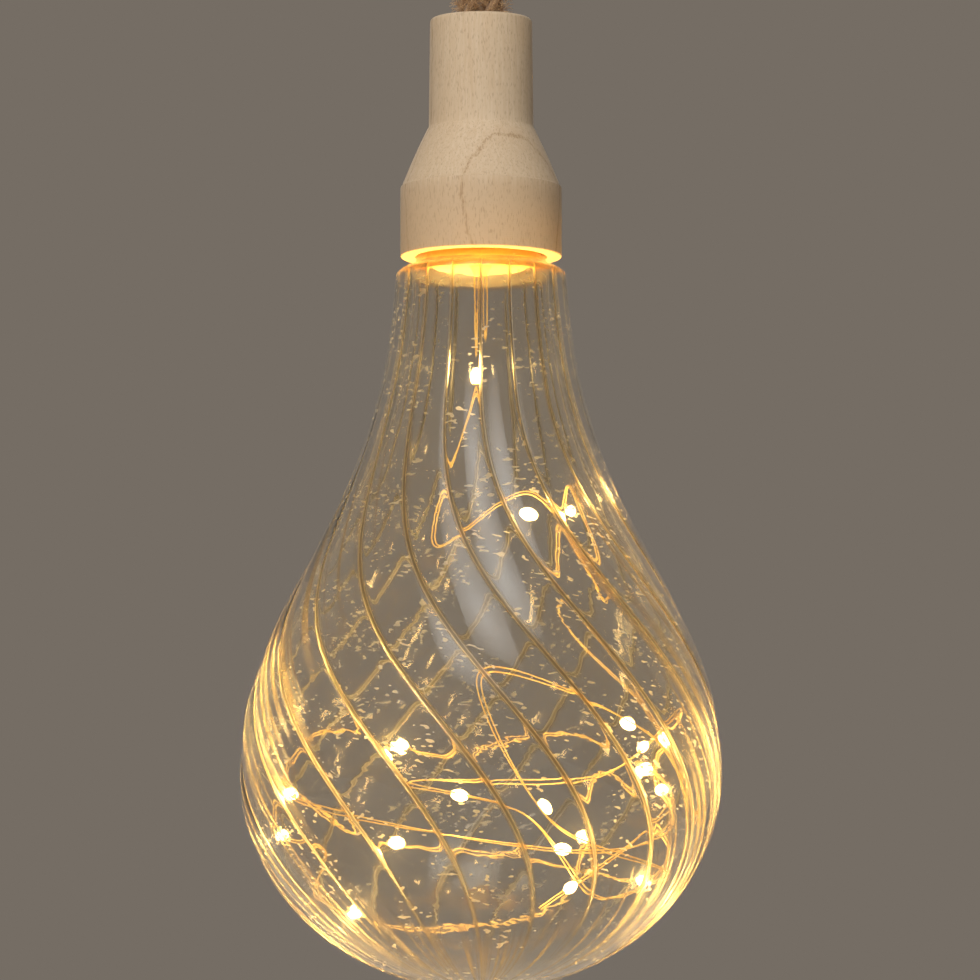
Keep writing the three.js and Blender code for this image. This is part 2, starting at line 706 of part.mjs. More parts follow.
function lights(curve) {
  const stations = curve.getSpacedPoints(WIRE_STEPS);
  const made = [];
  for (let i = 0; i < LIGHT_COUNT; i += 1) {
    const from = stations[FIRST_LIGHT_STEP + STEPS_PER_LIGHT * i];
    const to = stations[FIRST_LIGHT_STEP + STEPS_PER_LIGHT * i + 1];
    const label = String(i + 1).padStart(2, '0');
    const mesh = named(`light_${label}`, turned(lightProfile(), TINY_SEGMENTS), 'warmLight');
    mesh.position.addVectors(from, to).multiplyScalar(0.5);
    const along = to.clone().sub(from).normalize();
    mesh.quaternion.setFromUnitVectors(new THREE.Vector3(0, 0, 1), along);
    made.push(mesh);
  }
  return made;
}

function buildLamp() {
  const curve = lightCurve();
  const hanger = group(hangingRope(), stopperKnot(), knotWasher());
  const cap = group(woodenCap());
  const switchGroup = group(switchBody(), switchKnob());
  const board = group(circuitBoard(), timerChip(), switchGroup, ...boardScrews(), ...leads());
  const carrier = group(batteryCarrier(), ...cells(), ...contactSprings(), ...contactStrips(), board);
  const string = group(lightWire(curve), ...lights(curve));
  const bulb = group(glassBulb(), neckPlug(), gripRing(), wireSeal(), carrier, string);
  const lamp = group(hanger, cap, bulb);
  lamp.position.z = -(CAP_HEIGHT + ROPE_RISE);
  const full = new THREE.Group();
  full.add(lamp);
  const pitch = curve.getLength() * STEPS_PER_LIGHT / WIRE_STEPS;
  console.log(`light string ${curve.getLength().toFixed(0)} mm long, a light every ${pitch.toFixed(0)} mm`);
  console.log(`rope ${ropeCurve().getLength().toFixed(0)} mm long`);
  return full;
}

const lamp = buildLamp();

export default lamp;
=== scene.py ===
import logging
import math
from dataclasses import dataclass
from enum import Enum
from typing import Any, Iterable, Sequence

import bpy
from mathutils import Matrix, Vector

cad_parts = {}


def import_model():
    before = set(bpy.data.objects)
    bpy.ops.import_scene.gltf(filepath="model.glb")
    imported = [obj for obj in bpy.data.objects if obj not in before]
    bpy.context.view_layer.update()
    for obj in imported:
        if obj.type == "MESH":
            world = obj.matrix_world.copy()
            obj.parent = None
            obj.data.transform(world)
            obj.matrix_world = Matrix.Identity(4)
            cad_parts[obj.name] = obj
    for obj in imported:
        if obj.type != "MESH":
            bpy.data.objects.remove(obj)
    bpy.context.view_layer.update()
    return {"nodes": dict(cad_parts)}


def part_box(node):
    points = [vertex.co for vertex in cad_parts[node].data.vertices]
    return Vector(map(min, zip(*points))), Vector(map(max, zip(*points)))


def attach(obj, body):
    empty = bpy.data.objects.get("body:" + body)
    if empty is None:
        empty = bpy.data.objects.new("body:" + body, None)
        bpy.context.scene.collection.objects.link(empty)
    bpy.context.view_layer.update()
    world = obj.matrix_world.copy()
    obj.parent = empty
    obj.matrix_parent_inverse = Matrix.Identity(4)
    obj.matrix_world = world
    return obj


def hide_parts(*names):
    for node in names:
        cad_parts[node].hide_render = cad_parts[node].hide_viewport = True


log = logging.getLogger("rope_pendant_lamp")

MM = 0.001
FULL_TURN = 2 * math.pi
CAP_FACE_HEIGHT = -0.226  # the row frame's height of the cap's open lower face, where the source's z is 0
PICTURE_SIDE = 980

Pair = tuple[float, float]
Triple = tuple[float, float, float]
Colour = tuple[float, float, float, float]
Output = bpy.types.NodeSocket
Node = bpy.types.Node
Material = bpy.types.Material
Mesh = bpy.types.Mesh
Piece = bpy.types.Object


class Body(Enum):
    """The CAD bodies that the pieces ride on."""

    HANGER = "hanger"
    CAP = "cap"
    BULB = "bulb"


class Slot(Enum):
    """The record's material slots, by name; the light string pairs its pieces with them, but no piece takes
    its finish from them.
    """

    JUTE = "jute_rope"
    WOOD = "turned_wood"
    GLASS = "clear_glass"
    COPPER = "copper_wire"
    LIGHT = "warm_light"


class Socket(Enum):
    """Kinds of node group socket."""

    FLOAT = "NodeSocketFloat"
    WHOLE = "NodeSocketInt"
    COLOUR = "NodeSocketColor"
    MATERIAL = "NodeSocketMaterial"


# Points and lines


def row_point(x: float, y: float, z: float) -> Vector:
    """A point of the source, in millimetres, in the row frame.

    Args:
        x: Millimetres to the right.
        y: Millimetres to the back.
        z: Millimetres above the cap's lower face.

    Returns:
        The same point in metres from the rope loop's bearing point.
    """
    return Vector((x * MM, y * MM, z * MM + CAP_FACE_HEIGHT))


def linear(red: int, green: int, blue: int) -> Colour:
    """A screen colour as the linear colour that a socket takes.

    Args:
        red: Red, 0 to 255.
        green: Green, 0 to 255.
        blue: Blue, 0 to 255.

    Returns:
        Linear red, green and blue, and 1 for alpha.
    """
    parts = [c / 255 for c in (red, green, blue)]
    bent = [c / 12.92 if c <= 0.04045 else ((c + 0.055) / 1.055) ** 2.4 for c in parts]
    return (*bent, 1.0)


def centripetal_line(points: Sequence[Vector], steps: int) -> list[Vector]:
    """The centripetal Catmull-Rom curve through some points, as the source draws its cords.

    Args:
        points: The route's points, in order.
        steps: How many short lines stand for each span.

    Returns:
        Points along the curve, the first and last of the route among them.
    """
    padded = [points[0] * 2 - points[1], *points, points[-1] * 2 - points[-2]]
    line: list[Vector] = []
    for i in range(len(points) - 1):
        a, b, c, d = padded[i : i + 4]
        before, span, after = ((q - p).length ** 0.5 for p, q in ((a, b), (b, c), (c, d)))
        leaving = ((b - a) / before - (c - a) / (before + span) + (c - b) / span) * span
        arriving = ((c - b) / span - (d - b) / (span + after) + (d - c) / after) * span
        squared = b * -3 + c * 3 - leaving * 2 - arriving
        cubed = b * 2 - c * 2 + leaving + arriving
        for t in (step / steps for step in range(steps)):
            line.append(b + leaving * t + squared * t**2 + cubed * t**3)
    line.append(points[-1].copy())
    return line


def evenly_spaced(line: Sequence[Vector], count: int) -> list[Vector]:
    """Points at equal distances along a line.

    Args:
        line: The points of a fine polyline.
        count: How many equal lengths to cut it into.

    Returns:
        count + 1 points, with both ends.
    """
    runs = [0.0]
    for p, q in zip(line, line[1:]):
        runs.append(runs[-1] + (q - p).length)
    spaced, i = [], 0
    for k in range(count + 1):
        want = runs[-1] * k / count
        while i < len(line) - 2 and runs[i + 1] < want:
            i += 1
        share = (want - runs[i]) / max(runs[i + 1] - runs[i], 1e-12)
        spaced.append(line[i].lerp(line[i + 1], min(1.0, share)))
    return spaced


def line_length(line: Sequence[Vector]) -> float:
    """The length of a polyline, in the units of its points."""
    return sum((q - p).length for p, q in zip(line, line[1:]))


def tuples(points: Iterable[Vector]) -> list[Triple]:
    """Points as plain tuples."""
    return [tuple(p) for p in points]


# Node and mesh helpers


class Wiring:
    """Adds nodes to one tree and joins them.

    A value is a number, colour, vector or word, or another node's output.
    """

    def __init__(self, tree: bpy.types.NodeTree) -> None:
        """Takes the tree to work in."""
        self.tree = tree

    def put(self, socket: Output, value: Any) -> None:
        """Joins an output to an input, or writes a plain value in it.

        Args:
            socket: The input.
            value: The value.
        """
        if isinstance(value, Output):
            self.tree.links.new(value, socket)
        else:
            socket.default_value = value

    def fill(self, sockets: Any, values: dict[Any, Any]) -> None:
        """Sets several of a node's inputs, each by its name or number."""
        for name, value in values.items():
            self.put(sockets[name], value)

    def add(self, kind: str, inputs: dict[Any, Any] | None = None, **settings: Any) -> Any:
        """Adds a node.

        Args:
            kind: The node's type.
            inputs: A value for each input, by name or number.
            **settings: The node's own properties.

        Returns:
            The node's outputs.
        """
        node = self.tree.nodes.new(kind)
        for name, value in settings.items():
            setattr(node, name, value)
        self.fill(node.inputs, inputs or {})
        return node.outputs

    def first(self, kind: str, inputs: dict[Any, Any] | None = None, **settings: Any) -> Output:
        """The first output of a node that takes what add takes."""
        return self.add(kind, inputs, **settings)[0]

    def maths(self, operation: str, *values: Any, clamp: bool = False) -> Output:
        """A Math node's result for the sum to do and its values, kept from 0 to 1 with clamp."""
        return self.first("ShaderNodeMath", dict(enumerate(values)), operation=operation, use_clamp=clamp)

    def chained(self, operation: str, values: Sequence[Any]) -> Any:
        """One sum done over two or more values.

        Args:
            operation: The sum to do.
            values: The values, in order.

        Returns:
            The last node's output.
        """
        total = values[0]
        for value in values[1:]:
            total = self.maths(operation, total, value)
        return total

    def plus(self, *values: Any) -> Output:
        """The sum of some values."""
        return self.chained("ADD", values)

    def minus(self, whole: Any, part: Any) -> Output:
        """One value less another."""
        return self.maths("SUBTRACT", whole, part)

    def times(self, *values: Any) -> Output:
        """The product of some values."""
        return self.chained("MULTIPLY", values)

    def over(self, whole: Any, part: Any) -> Output:
        """One value divided by another."""
        return self.maths("DIVIDE", whole, part)

    def power(self, base: Any, exponent: Any) -> Output:
        """One value to the power of another."""
        return self.maths("POWER", base, exponent)

    def largest(self, *values: Any) -> Output:
        """The largest of some values."""
        return self.chained("MAXIMUM", values)

    def vectors(self, operation: str, *values: Any) -> Output:
        """The vector result of a Vector Math node, for the sum to do and its values."""
        return self.first("ShaderNodeVectorMath", dict(enumerate(values)), operation=operation)

    def stretched(self, vector: Any, factor: Any) -> Output:
        """A vector times a number."""
        return self.first("ShaderNodeVectorMath", {0: vector, "Scale": factor}, operation="SCALE")

    def dot(self, one: Any, other: Any) -> Output:
        """The dot product of two vectors."""
        return self.add("ShaderNodeVectorMath", {0: one, 1: other}, operation="DOT_PRODUCT")["Value"]

    def parts(self, vector: Any) -> Any:
        """The x, y and z of a vector, as three outputs."""
        return self.add("ShaderNodeSeparateXYZ", {0: vector})

    def joined(self, *parts: Any) -> Output:
        """The vector of some x, y and z."""
        return self.first("ShaderNodeCombineXYZ", dict(enumerate(parts)))

    def mapped(
        self, value: Any, low: Any, high: Any, to: tuple[Any, Any] = (0.0, 1.0), smooth: bool = True
    ) -> Output:
        """A value from low to high taken to another range, kept within its ends and eased if smooth."""
        ends = {"Value": value, "From Min": low, "From Max": high, "To Min": to[0], "To Max": to[1]}
        return self.first("ShaderNodeMapRange", ends, interpolation_type="SMOOTHSTEP" if smooth else "LINEAR")

    def colours(self, factor: Any, one: Any, other: Any) -> Output:
        """A mix of one colour with another, where the factor is the other's share."""
        return self.add("ShaderNodeMix", {0: factor, 6: one, 7: other}, data_type="RGBA")[2]

    def noise(self, place: Any, scale: Any, detail: float = 3.0, roughness: float = 0.5) -> Output:
        """A noise of so many lumps to a metre, with finer layers as the detail and roughness say."""
        inputs = {"Vector": place, "Scale": scale, "Detail": detail, "Roughness": roughness}
        return self.first("ShaderNodeTexNoise", inputs)

    def bumped(self, height: Any, strength: float, distance: float) -> Output:
        """A normal from a height, where a height of 1 stands for the distance in metres."""
        return self.first("ShaderNodeBump", {"Strength": strength, "Distance": distance, "Height": height})

    def object_place(self) -> Output:
        """In a material, the place on the piece in the row frame."""
        return self.add("ShaderNodeTexCoord")["Object"]

    def kept(self, name: str, word: str = "Fac") -> Output:
        """In a material, what the mesh keeps under a name, as a number (Fac) or a Vector."""
        return self.add("ShaderNodeAttribute", attribute_name=name)[word]

    def position(self) -> Output:
        """In a geometry tree, each point's place."""
        return self.first("GeometryNodeInputPosition")

    def along_spline(self, word: str) -> Output:
        """In a geometry tree, a curve point's Length or Factor along its spline."""
        return self.add("GeometryNodeSplineParameter")[word]

    def read(self, name: str, kind: str = "FLOAT") -> Output:
        """In a geometry tree, what the points keep under a name."""
        return self.first("GeometryNodeInputNamedAttribute", {"Name": name}, data_type=kind)

    def stored(self, geometry: Output, name: str, value: Any, kind: str = "FLOAT") -> Output:
        """A geometry or curve whose points keep a value of that kind under a name."""
        inputs = {"Geometry": geometry, "Name": name, "Value": value}
        return self.first("GeometryNodeStoreNamedAttribute", inputs, data_type=kind, domain="POINT")

    def moved(self, geometry: Output, place: Any) -> Output:
        """A geometry with its points at new places."""
        return self.first("GeometryNodeSetPosition", {"Geometry": geometry, "Position": place})

    def ring(self, corners: Any, radius: Any) -> Output:
        """A round section of that many corners."""
        return self.first("GeometryNodeCurvePrimitiveCircle", {"Resolution": corners, "Radius": radius})

    def swept(self, curve: Output, section: Output) -> Output:
        """A closed tube of a section along a curve."""
        inputs = {"Curve": curve, "Profile Curve": section, "Fill Caps": True}
        return self.first("GeometryNodeCurveToMesh", inputs)

    def random(self, low: float, high: float, seed: Any) -> Output:
        """A number between two others for each point."""
        return self.add("FunctionNodeRandomValue", {2: low, 3: high, "Seed": seed}, data_type="FLOAT")[1]


class SharedGroup:
    """A shader node group with named inputs and outputs, built once and placed in each material."""

    def __init__(self, name: str, inputs: dict[str, tuple[Socket, Any]], outputs: dict[str, Socket]) -> None:
        """Makes the group's sockets.

        Args:
            name: The group's name.
            inputs: Each input's kind and usual value.
            outputs: Each output's kind.
        """
        self.tree = bpy.data.node_groups.new(name, "ShaderNodeTree")
        for word, (kind, usual) in inputs.items():
            item = self.tree.interface.new_socket(name=word, in_out="INPUT", socket_type=kind.value)
            item.default_value = usual
        for word, kind in outputs.items():
            self.tree.interface.new_socket(name=word, in_out="OUTPUT", socket_type=kind.value)
        self.wiring = Wiring(self.tree)
        self.entry = self.wiring.add("NodeGroupInput")
        self.exit = self.tree.nodes.new("NodeGroupOutput").inputs

    def place(self, wiring: Wiring, **values: Any) -> Any:
        """Puts the group in a material, with its inputs by name and _ for a space, and gives its outputs."""
        inputs = {word.replace("_", " "): value for word, value in values.items()}
        return wiring.add("ShaderNodeGroup", inputs, node_tree=self.tree)


class GeometryRecipe:
    """A Geometry Nodes tree with named inputs, which turns a simple source into a finished mesh."""

    def __init__(self, name: str) -> None:
        """Starts an empty tree.

        Args:
            name: The tree's name.
        """
        self.tree = bpy.data.node_groups.new(name, "GeometryNodeTree")
        for way in ("INPUT", "OUTPUT"):
            self.tree.interface.new_socket(name="Geometry", in_out=way, socket_type="NodeSocketGeometry")
        self.wiring = Wiring(self.tree)
        self.entry = self.wiring.add("NodeGroupInput")
        self.exit = self.tree.nodes.new("NodeGroupOutput").inputs
        self.identifiers: dict[str, str] = {}
        self.size("Material", Socket.MATERIAL)

    def size(self, name: str, kind: Socket = Socket.FLOAT) -> Output:
        """Adds a named input.

        Args:
            name: The input's name.
            kind: Its kind of socket.

        Returns:
            The output of the tree's entry that carries it.
        """
        item = self.tree.interface.new_socket(name=name, in_out="INPUT", socket_type=kind.value)
        self.identifiers[name] = item.identifier
        return self.entry[name]

    def sizes(self, *names: str) -> list[Output]:
        """Adds several named inputs that take a number."""
        return [self.size(name) for name in names]

    @property
    def source(self) -> Output:
        """The geometry that comes in."""
        return self.entry["Geometry"]

    def close(self, geometry: Output) -> None:
        """Ends the tree with real geometry that has its material.

        Args:
            geometry: What was made.
        """
        real = self.wiring.first("GeometryNodeRealizeInstances", {"Geometry": geometry})
        inputs = {"Geometry": real, "Material": self.entry["Material"]}
        self.wiring.put(self.exit["Geometry"], self.wiring.first("GeometryNodeSetMaterial", inputs))

    def bake(self, source: Mesh, name: str, values: dict[str, Any]) -> Piece:
        """Runs the tree on a mesh.

        Args:
            source: The mesh that it starts from.
            name: The finished object's name.
            values: The value of each named input.

        Returns:
            A plain mesh object at the origin.
        """
        carrier = add_object(name + "_source", source)
        modifier = carrier.modifiers.new(self.tree.name, "NODES")
        modifier.node_group = self.tree
        for word, value in values.items():
            modifier[self.identifiers[word]] = value
        depsgraph = bpy.context.evaluated_depsgraph_get()
        mesh = bpy.data.meshes.new_from_object(
            carrier.evaluated_get(depsgraph), preserve_all_data_layers=True, depsgraph=depsgraph
        )
        carrier.modifiers.remove(modifier)
        bpy.data.objects.remove(carrier)
        mesh.name = name
        if not mesh.materials:
            mesh.materials.append(values["Material"])
        mesh.shade_smooth()
        return add_object(name, mesh)


def add_object(name: str, data: Any) -> Piece:
    """Puts a mesh, a lamp or a camera in the scene, at the origin.

    Args:
        name: The object's name.
        data: Its mesh, light or camera data.

    Returns:
        The new object.
    """
    piece = bpy.data.objects.new(name, data)
    bpy.context.scene.collection.objects.link(piece)
    return piece


def line_mesh(name: str, line: Sequence[Vector], **marks: Sequence[float]) -> Mesh:
    """A line as a mesh of edges, for a tree to start from.

    Args:
        name: The mesh's name.
        line: Its points, in order.
        **marks: A number for each point, kept as an attribute of that name.

    Returns:
        The mesh.
    """
    mesh = bpy.data.meshes.new(name)
    mesh.from_pydata(tuples(line), [(i, i + 1) for i in range(len(line) - 1)], [])
    for word, numbers in marks.items():
        mesh.attributes.new(word, "FLOAT", "POINT").data.foreach_set("value", list(numbers))
    return mesh


def turned_mesh(name: str, outline: Sequence[Pair], angles: Sequence[float]) -> Mesh:
    """A solid of revolution round the lamp's axis.

    Args:
        name: The mesh's name.
        outline: Radius and height of each corner in source millimetres, anticlockwise, from axis to
            axis or in a closed ring.
        angles: The angle of each column of corners, in order round the axis.

    Returns:
        A closed mesh whose faces point outwards.
    """
    poles = outline[0][0] == 0 and outline[-1][0] == 0
    columns = len(angles)
    rows = outline[1:-1] if poles else outline
    places = [row_point(r * math.cos(a), r * math.sin(a), height) for r, height in rows for a in angles]
    faces: list[tuple[int, ...]] = []
    for i in range(len(rows) - int(poles)):
        low, high = i * columns, ((i + 1) % len(rows)) * columns
        for j in range(columns):
            k = (j + 1) % columns
            faces.append((low + j, low + k, high + k, high + j))
    if poles:
        bottom, top, last = len(places), len(places) + 1, (len(rows) - 1) * columns
        places += [row_point(0, 0, outline[0][1]), row_point(0, 0, outline[-1][1])]
        for j in range(columns):
            k = (j + 1) % columns
            faces += [(bottom, k, j), (last + j, last + k, top)]
    mesh = bpy.data.meshes.new(name)
    mesh.from_pydata(tuples(places), [], faces)
    mesh.shade_smooth()
    return mesh


# Finishes


class Finishes:
    """The shared shader groups, built once."""

    hair_lumps: Pair = (26.0, 260.0)  # a fibre's noise, round the rope and to a metre along it

    def __init__(self) -> None:
        """Builds each group."""
        self.mottle = self._mottle()
        self.laid_fibre = self._laid_fibre()

    def _mottle(self) -> SharedGroup:
        """Cloudy colour, uneven gloss and fine grain, for moulded, plated and lacquered pieces.

        Returns:
            The group.
        """
        group = SharedGroup(
            "uneven_surface",
            {
                "Light": (Socket.COLOUR, (1, 1, 1, 1)),
                "Dark": (Socket.COLOUR, (0.5, 0.5, 0.5, 1)),
                "Cloud Scale": (Socket.FLOAT, 60.0),
                "Grain Scale": (Socket.FLOAT, 2500.0),
                "Roughness": (Socket.FLOAT, 0.5),
                "Spread": (Socket.FLOAT, 0.1),
            },
            {"Color": Socket.COLOUR, "Roughness": Socket.FLOAT, "Height": Socket.FLOAT},
        )
        w, entry = group.wiring, group.entry
        place = w.object_place()
        cloud = w.noise(place, entry["Cloud Scale"], 4.0, 0.6)
        grain = w.noise(place, entry["Grain Scale"], 2.0)
        shifts = [w.times(w.minus(value, 0.5), entry["Spread"]) for value in (cloud, grain)]
        w.fill(group.exit, {
            "Color": w.colours(w.mapped(cloud, 0.35, 0.68), entry["Light"], entry["Dark"]),
            "Roughness": w.maths("ADD", entry["Roughness"], w.plus(*shifts), clamp=True),
            "Height": w.plus(grain, w.times(cloud, 0.6)),
        })
        return group

    def _laid_fibre(self) -> SharedGroup:
        """Yarns and hairs of a twisted rope, along the lines that its mesh keeps as attributes, with painted
        shade between the yarns and in the grooves between the strands.

        Returns:
            The group.
        """
        group = SharedGroup(
            "laid_fibre",
            {
                "Light": (Socket.COLOUR, (0.5, 0.35, 0.2, 1)),
                "Dark": (Socket.COLOUR, (0.1, 0.06, 0.03, 1)),
                "Yarns": (Socket.FLOAT, 15.0),
                "Lay": (Socket.FLOAT, 0.03),
            },
            {"Color": Socket.COLOUR, "Height": Socket.FLOAT},
        )
        w, entry = group.wiring, group.entry
        along, around, groove = (w.kept(name) for name in ("along", "around", "groove"))
        turn = w.plus(around, w.over(along, entry["Lay"]))
        place = w.joined(w.times(turn, self.hair_lumps[0]), w.times(along, self.hair_lumps[1]))
        hair = w.noise(place, 6.0, 5.0, 0.7)
        yarn = w.maths("ABSOLUTE", w.maths("SINE", w.times(turn, entry["Yarns"], math.pi)))
        # Painted shade: darker between the yarns and much darker in the grooves between the strands.
        lit = w.times(w.mapped(hair, 0.3, 0.72), w.mapped(yarn, 0.0, 0.7, (0.45, 1.0)))
        lit = w.times(lit, w.mapped(groove, 0.62, 0.95, (0.15, 1.0)))
        w.fill(group.exit, {
            "Color": w.colours(lit, entry["Dark"], entry["Light"]),
            "Height": w.plus(w.times(yarn, 0.6), hair),
        })
        return group


@dataclass(frozen=True)
class Finish:
    """What every finish has: a name, and a material whose Principled shader it dresses."""

    name: str

    def looks(self, w: Wiring, shared: Finishes) -> dict[str, Any]:
        """A value for each of the shader's inputs, by name, which every finish works out for itself."""
        raise NotImplementedError(self.name)

    def material(self, shared: Finishes) -> Material:
        """Builds the material.

        Args:
            shared: The shared groups.

        Returns:
            The material.
        """
        material = bpy.data.materials.new(self.name)
        material.use_nodes = True
        w = Wiring(material.node_tree)
        w.fill(node_of(material, "BSDF_PRINCIPLED").inputs, self.looks(w, shared))
        return material


def node_of(material: Material, kind: str) -> Node:
    """The node of one kind that a new material starts with."""
    return next(n for n in material.node_tree.nodes if n.type == kind)


@dataclass(frozen=True)
class MouldedFinish(Finish):
    """A plain moulded, plated or lacquered surface."""

    light: Colour
    dark: Colour
    roughness: float
    spread: float = 0.12
    metallic: float = 0.0
    coat: float = 0.0
    cloud_scale: float = 70.0
    grain_scale: float = 2600.0
    bump: float = 0.25
    grain_depth: float = 0.04 * MM

    def looks(self, w: Wiring, shared: Finishes) -> dict[str, Any]:
        """Clouds and grain over a plain metal or lacquer.

        Args:
            w: The material's wiring.
            shared: The shared groups.

        Returns:
            A value for each of the shader's inputs, by name.
        """
        made = shared.mottle.place(
            w, Light=self.light, Dark=self.dark, Cloud_Scale=self.cloud_scale, Grain_Scale=self.grain_scale,
            Roughness=self.roughness, Spread=self.spread,
        )
        return {
            "Base Color": made["Color"],
            "Roughness": made["Roughness"],
            "Metallic": self.metallic,
            "Coat Weight": self.coat,
            "Normal": w.bumped(made["Height"], self.bump, self.grain_depth),
        }


@dataclass(frozen=True)
class CellFinish(Finish):
    """A battery cell: a plain glossy sleeve between bright metal ends."""

    sleeve_low: float
    sleeve_high: float
    sleeve: Colour = linear(52, 84, 108)
    sleeve_dark: Colour = linear(40, 68, 92)
    metal: Colour = linear(198, 198, 196)
    sleeve_edge: float = 0.1 * MM
    grain_depth: float = 0.03 * MM

    def looks(self, w: Wiring, shared: Finishes) -> dict[str, Any]:
        """The sleeve where the height is within its ends, and metal past them.

        Args:
            w: The material's wiring.
            shared: The shared groups.

        Returns:
            A value for each of the shader's inputs, by name.
        """
        height, edge = w.parts(w.object_place())[2], self.sleeve_edge
        sleeve = w.times(
            w.mapped(height, self.sleeve_low - edge, self.sleeve_low + edge),
            w.mapped(height, self.sleeve_high - edge, self.sleeve_high + edge, (1.0, 0.0)),
        )
        made = shared.mottle.place(
            w, Light=self.sleeve, Dark=self.sleeve_dark, Cloud_Scale=90.0, Grain_Scale=3000.0,
            Roughness=0.28, Spread=0.1,
        )
        return {
            "Base Color": w.colours(sleeve, self.metal, made["Color"]),
            "Metallic": w.minus(1.0, sleeve),
            "Roughness": made["Roughness"],
            "Normal": w.bumped(made["Height"], 0.15, self.grain_depth),
        }


@dataclass(frozen=True)
class WoodFinish(Finish):
    """Pale turned wood, sanded and unvarnished, with fine upright pores and one brown growth line."""

    name: str = "turned_wood_finish"
    pale: Colour = linear(222, 200, 170)
    warm: Colour = linear(203, 174, 139)
    brown: Colour = linear(158, 118, 74)
    pore: Colour = linear(140, 102, 72)
    ring_across: Triple = (0.515, -0.857, 0.0)
    ring_place: float = 0.0179
    ring_spacing: float = 0.0222
    ring_bow: float = 4.5
    ring_wander: float = 0.004
    bow_height: float = -0.202
    bow_limit: float = 0.013
    skirt_height: float = -0.21
    skirt_warmth: float = 0.65
    roughness: Pair = (0.6, 0.8)
    turning_pitch: float = 0.6 * MM
    grain_depth: float = 0.12 * MM

    def looks(self, w: Wiring, shared: Finishes) -> dict[str, Any]:
        """Clouds, streaks, pores, the growth line and the fine rings that the turning left.

        Args:
            w: The material's wiring.
            shared: The shared groups; not used.

        Returns:
            A value for each of the shader's inputs, by name.
        """
        place = w.object_place()
        high = w.parts(place)[2]
        upright = w.vectors("MULTIPLY", place, (1.0, 1.0, 0.07))
        cloud = w.noise(place, 42.0)
        streak = w.noise(upright, 1100.0, 4.0, 0.65)
        fine = w.noise(upright, 2400.0, 3.0, 0.6)
        pores = w.mapped(w.noise(w.vectors("MULTIPLY", place, (1.0, 1.0, 0.2)), 2700.0, 1.0), 0.55, 0.7)

        wander = w.times(w.minus(w.noise(place, 110.0, 5.0, 0.65), 0.5), self.ring_wander)
        rise = w.maths("MINIMUM", w.minus(high, self.bow_height), self.bow_limit)
        bowed = w.times(w.power(rise, 2.0), self.ring_bow)
        beyond = w.minus(w.minus(w.dot(place, self.ring_across), bowed), self.ring_place)
        phase = w.over(w.plus(beyond, wander), self.ring_spacing)
        nearest = w.maths("ABSOLUTE", w.minus(phase, w.maths("ROUND", phase)))
        line = w.mapped(nearest, 0.003, 0.026, (1.0, 0.0))
        halo = w.mapped(nearest, 0.0, 0.12, (0.3, 0.0))
        inside = w.mapped(w.maths("FRACT", phase), 0.0, 0.9, (0.28, 0.0), smooth=False)

        skirt = w.mapped(high, self.bow_height, self.skirt_height, (0.0, self.skirt_warmth))
        tone = w.plus(w.times(w.mapped(streak, 0.3, 0.72), 0.45), w.times(cloud, 0.6), skirt)
        colour = w.colours(tone, self.pale, self.warm)
        colour = w.colours(w.largest(halo, inside), colour, self.warm)
        colour = w.colours(w.times(line, w.mapped(fine, 0.4, 0.62, (0.1, 0.65))), colour, self.brown)
        turning = w.maths("SINE", w.times(high, FULL_TURN / self.turning_pitch))
        height = w.plus(w.times(fine, 0.8), w.times(turning, 0.06))
        height = w.minus(height, w.times(pores, 0.8))
        return {
            "Base Color": w.colours(w.times(pores, 0.3), colour, self.pore),
            "Roughness": w.mapped(streak, 0.2, 0.8, self.roughness),
            "Normal": w.bumped(height, 0.35, self.grain_depth),
        }


@dataclass(frozen=True)
class JuteFinish(Finish):
    """Dry brown jute, laid in a rope."""

    name: str = "jute_finish"
    light: Colour = linear(224, 182, 132)
    # dark is the darker hairs' tone and also the painted shade in the grooves.
    dark: Colour = linear(124, 90, 60)
    lay: float = 28 * MM
    yarn_depth: float = 0.35 * MM

    def looks(self, w: Wiring, shared: Finishes) -> dict[str, Any]:
        """Yarns along the strands, dull and a little fuzzy.

        Args:
            w: The material's wiring.
            shared: The shared groups.

        Returns:
            A value for each of the shader's inputs, by name.
        """
        made = shared.laid_fibre.place(w, Light=self.light, Dark=self.dark, Yarns=15.0, Lay=self.lay)
        return {
            "Base Color": made["Color"],
            "Roughness": 0.92,
            "Sheen Weight": 0.25,
            "Sheen Roughness": 0.6,
            "Normal": w.bumped(made["Height"], 0.8, self.yarn_depth),
        }


@dataclass(frozen=True)
class HairFinish(Finish):
    """Single jute hairs, each a little lighter or darker."""

    name: str = "jute_hair_finish"
    light: Colour = linear(228, 188, 138)
    dark: Colour = linear(146, 106, 68)

    def looks(self, w: Wiring, shared: Finishes) -> dict[str, Any]:
        """Small clouds of light and dark, one or two to a hair.

        Args:
            w: The material's wiring.
            shared: The shared groups.

        Returns:
            A value for each of the shader's inputs, by name.
        """
        made = shared.mottle.place(
            w, Light=self.light, Dark=self.dark, Cloud_Scale=420.0, Grain_Scale=5000.0, Roughness=0.8,
            Spread=0.2,
        )
        return {"Base Color": made["Color"], "Roughness": made["Roughness"]}


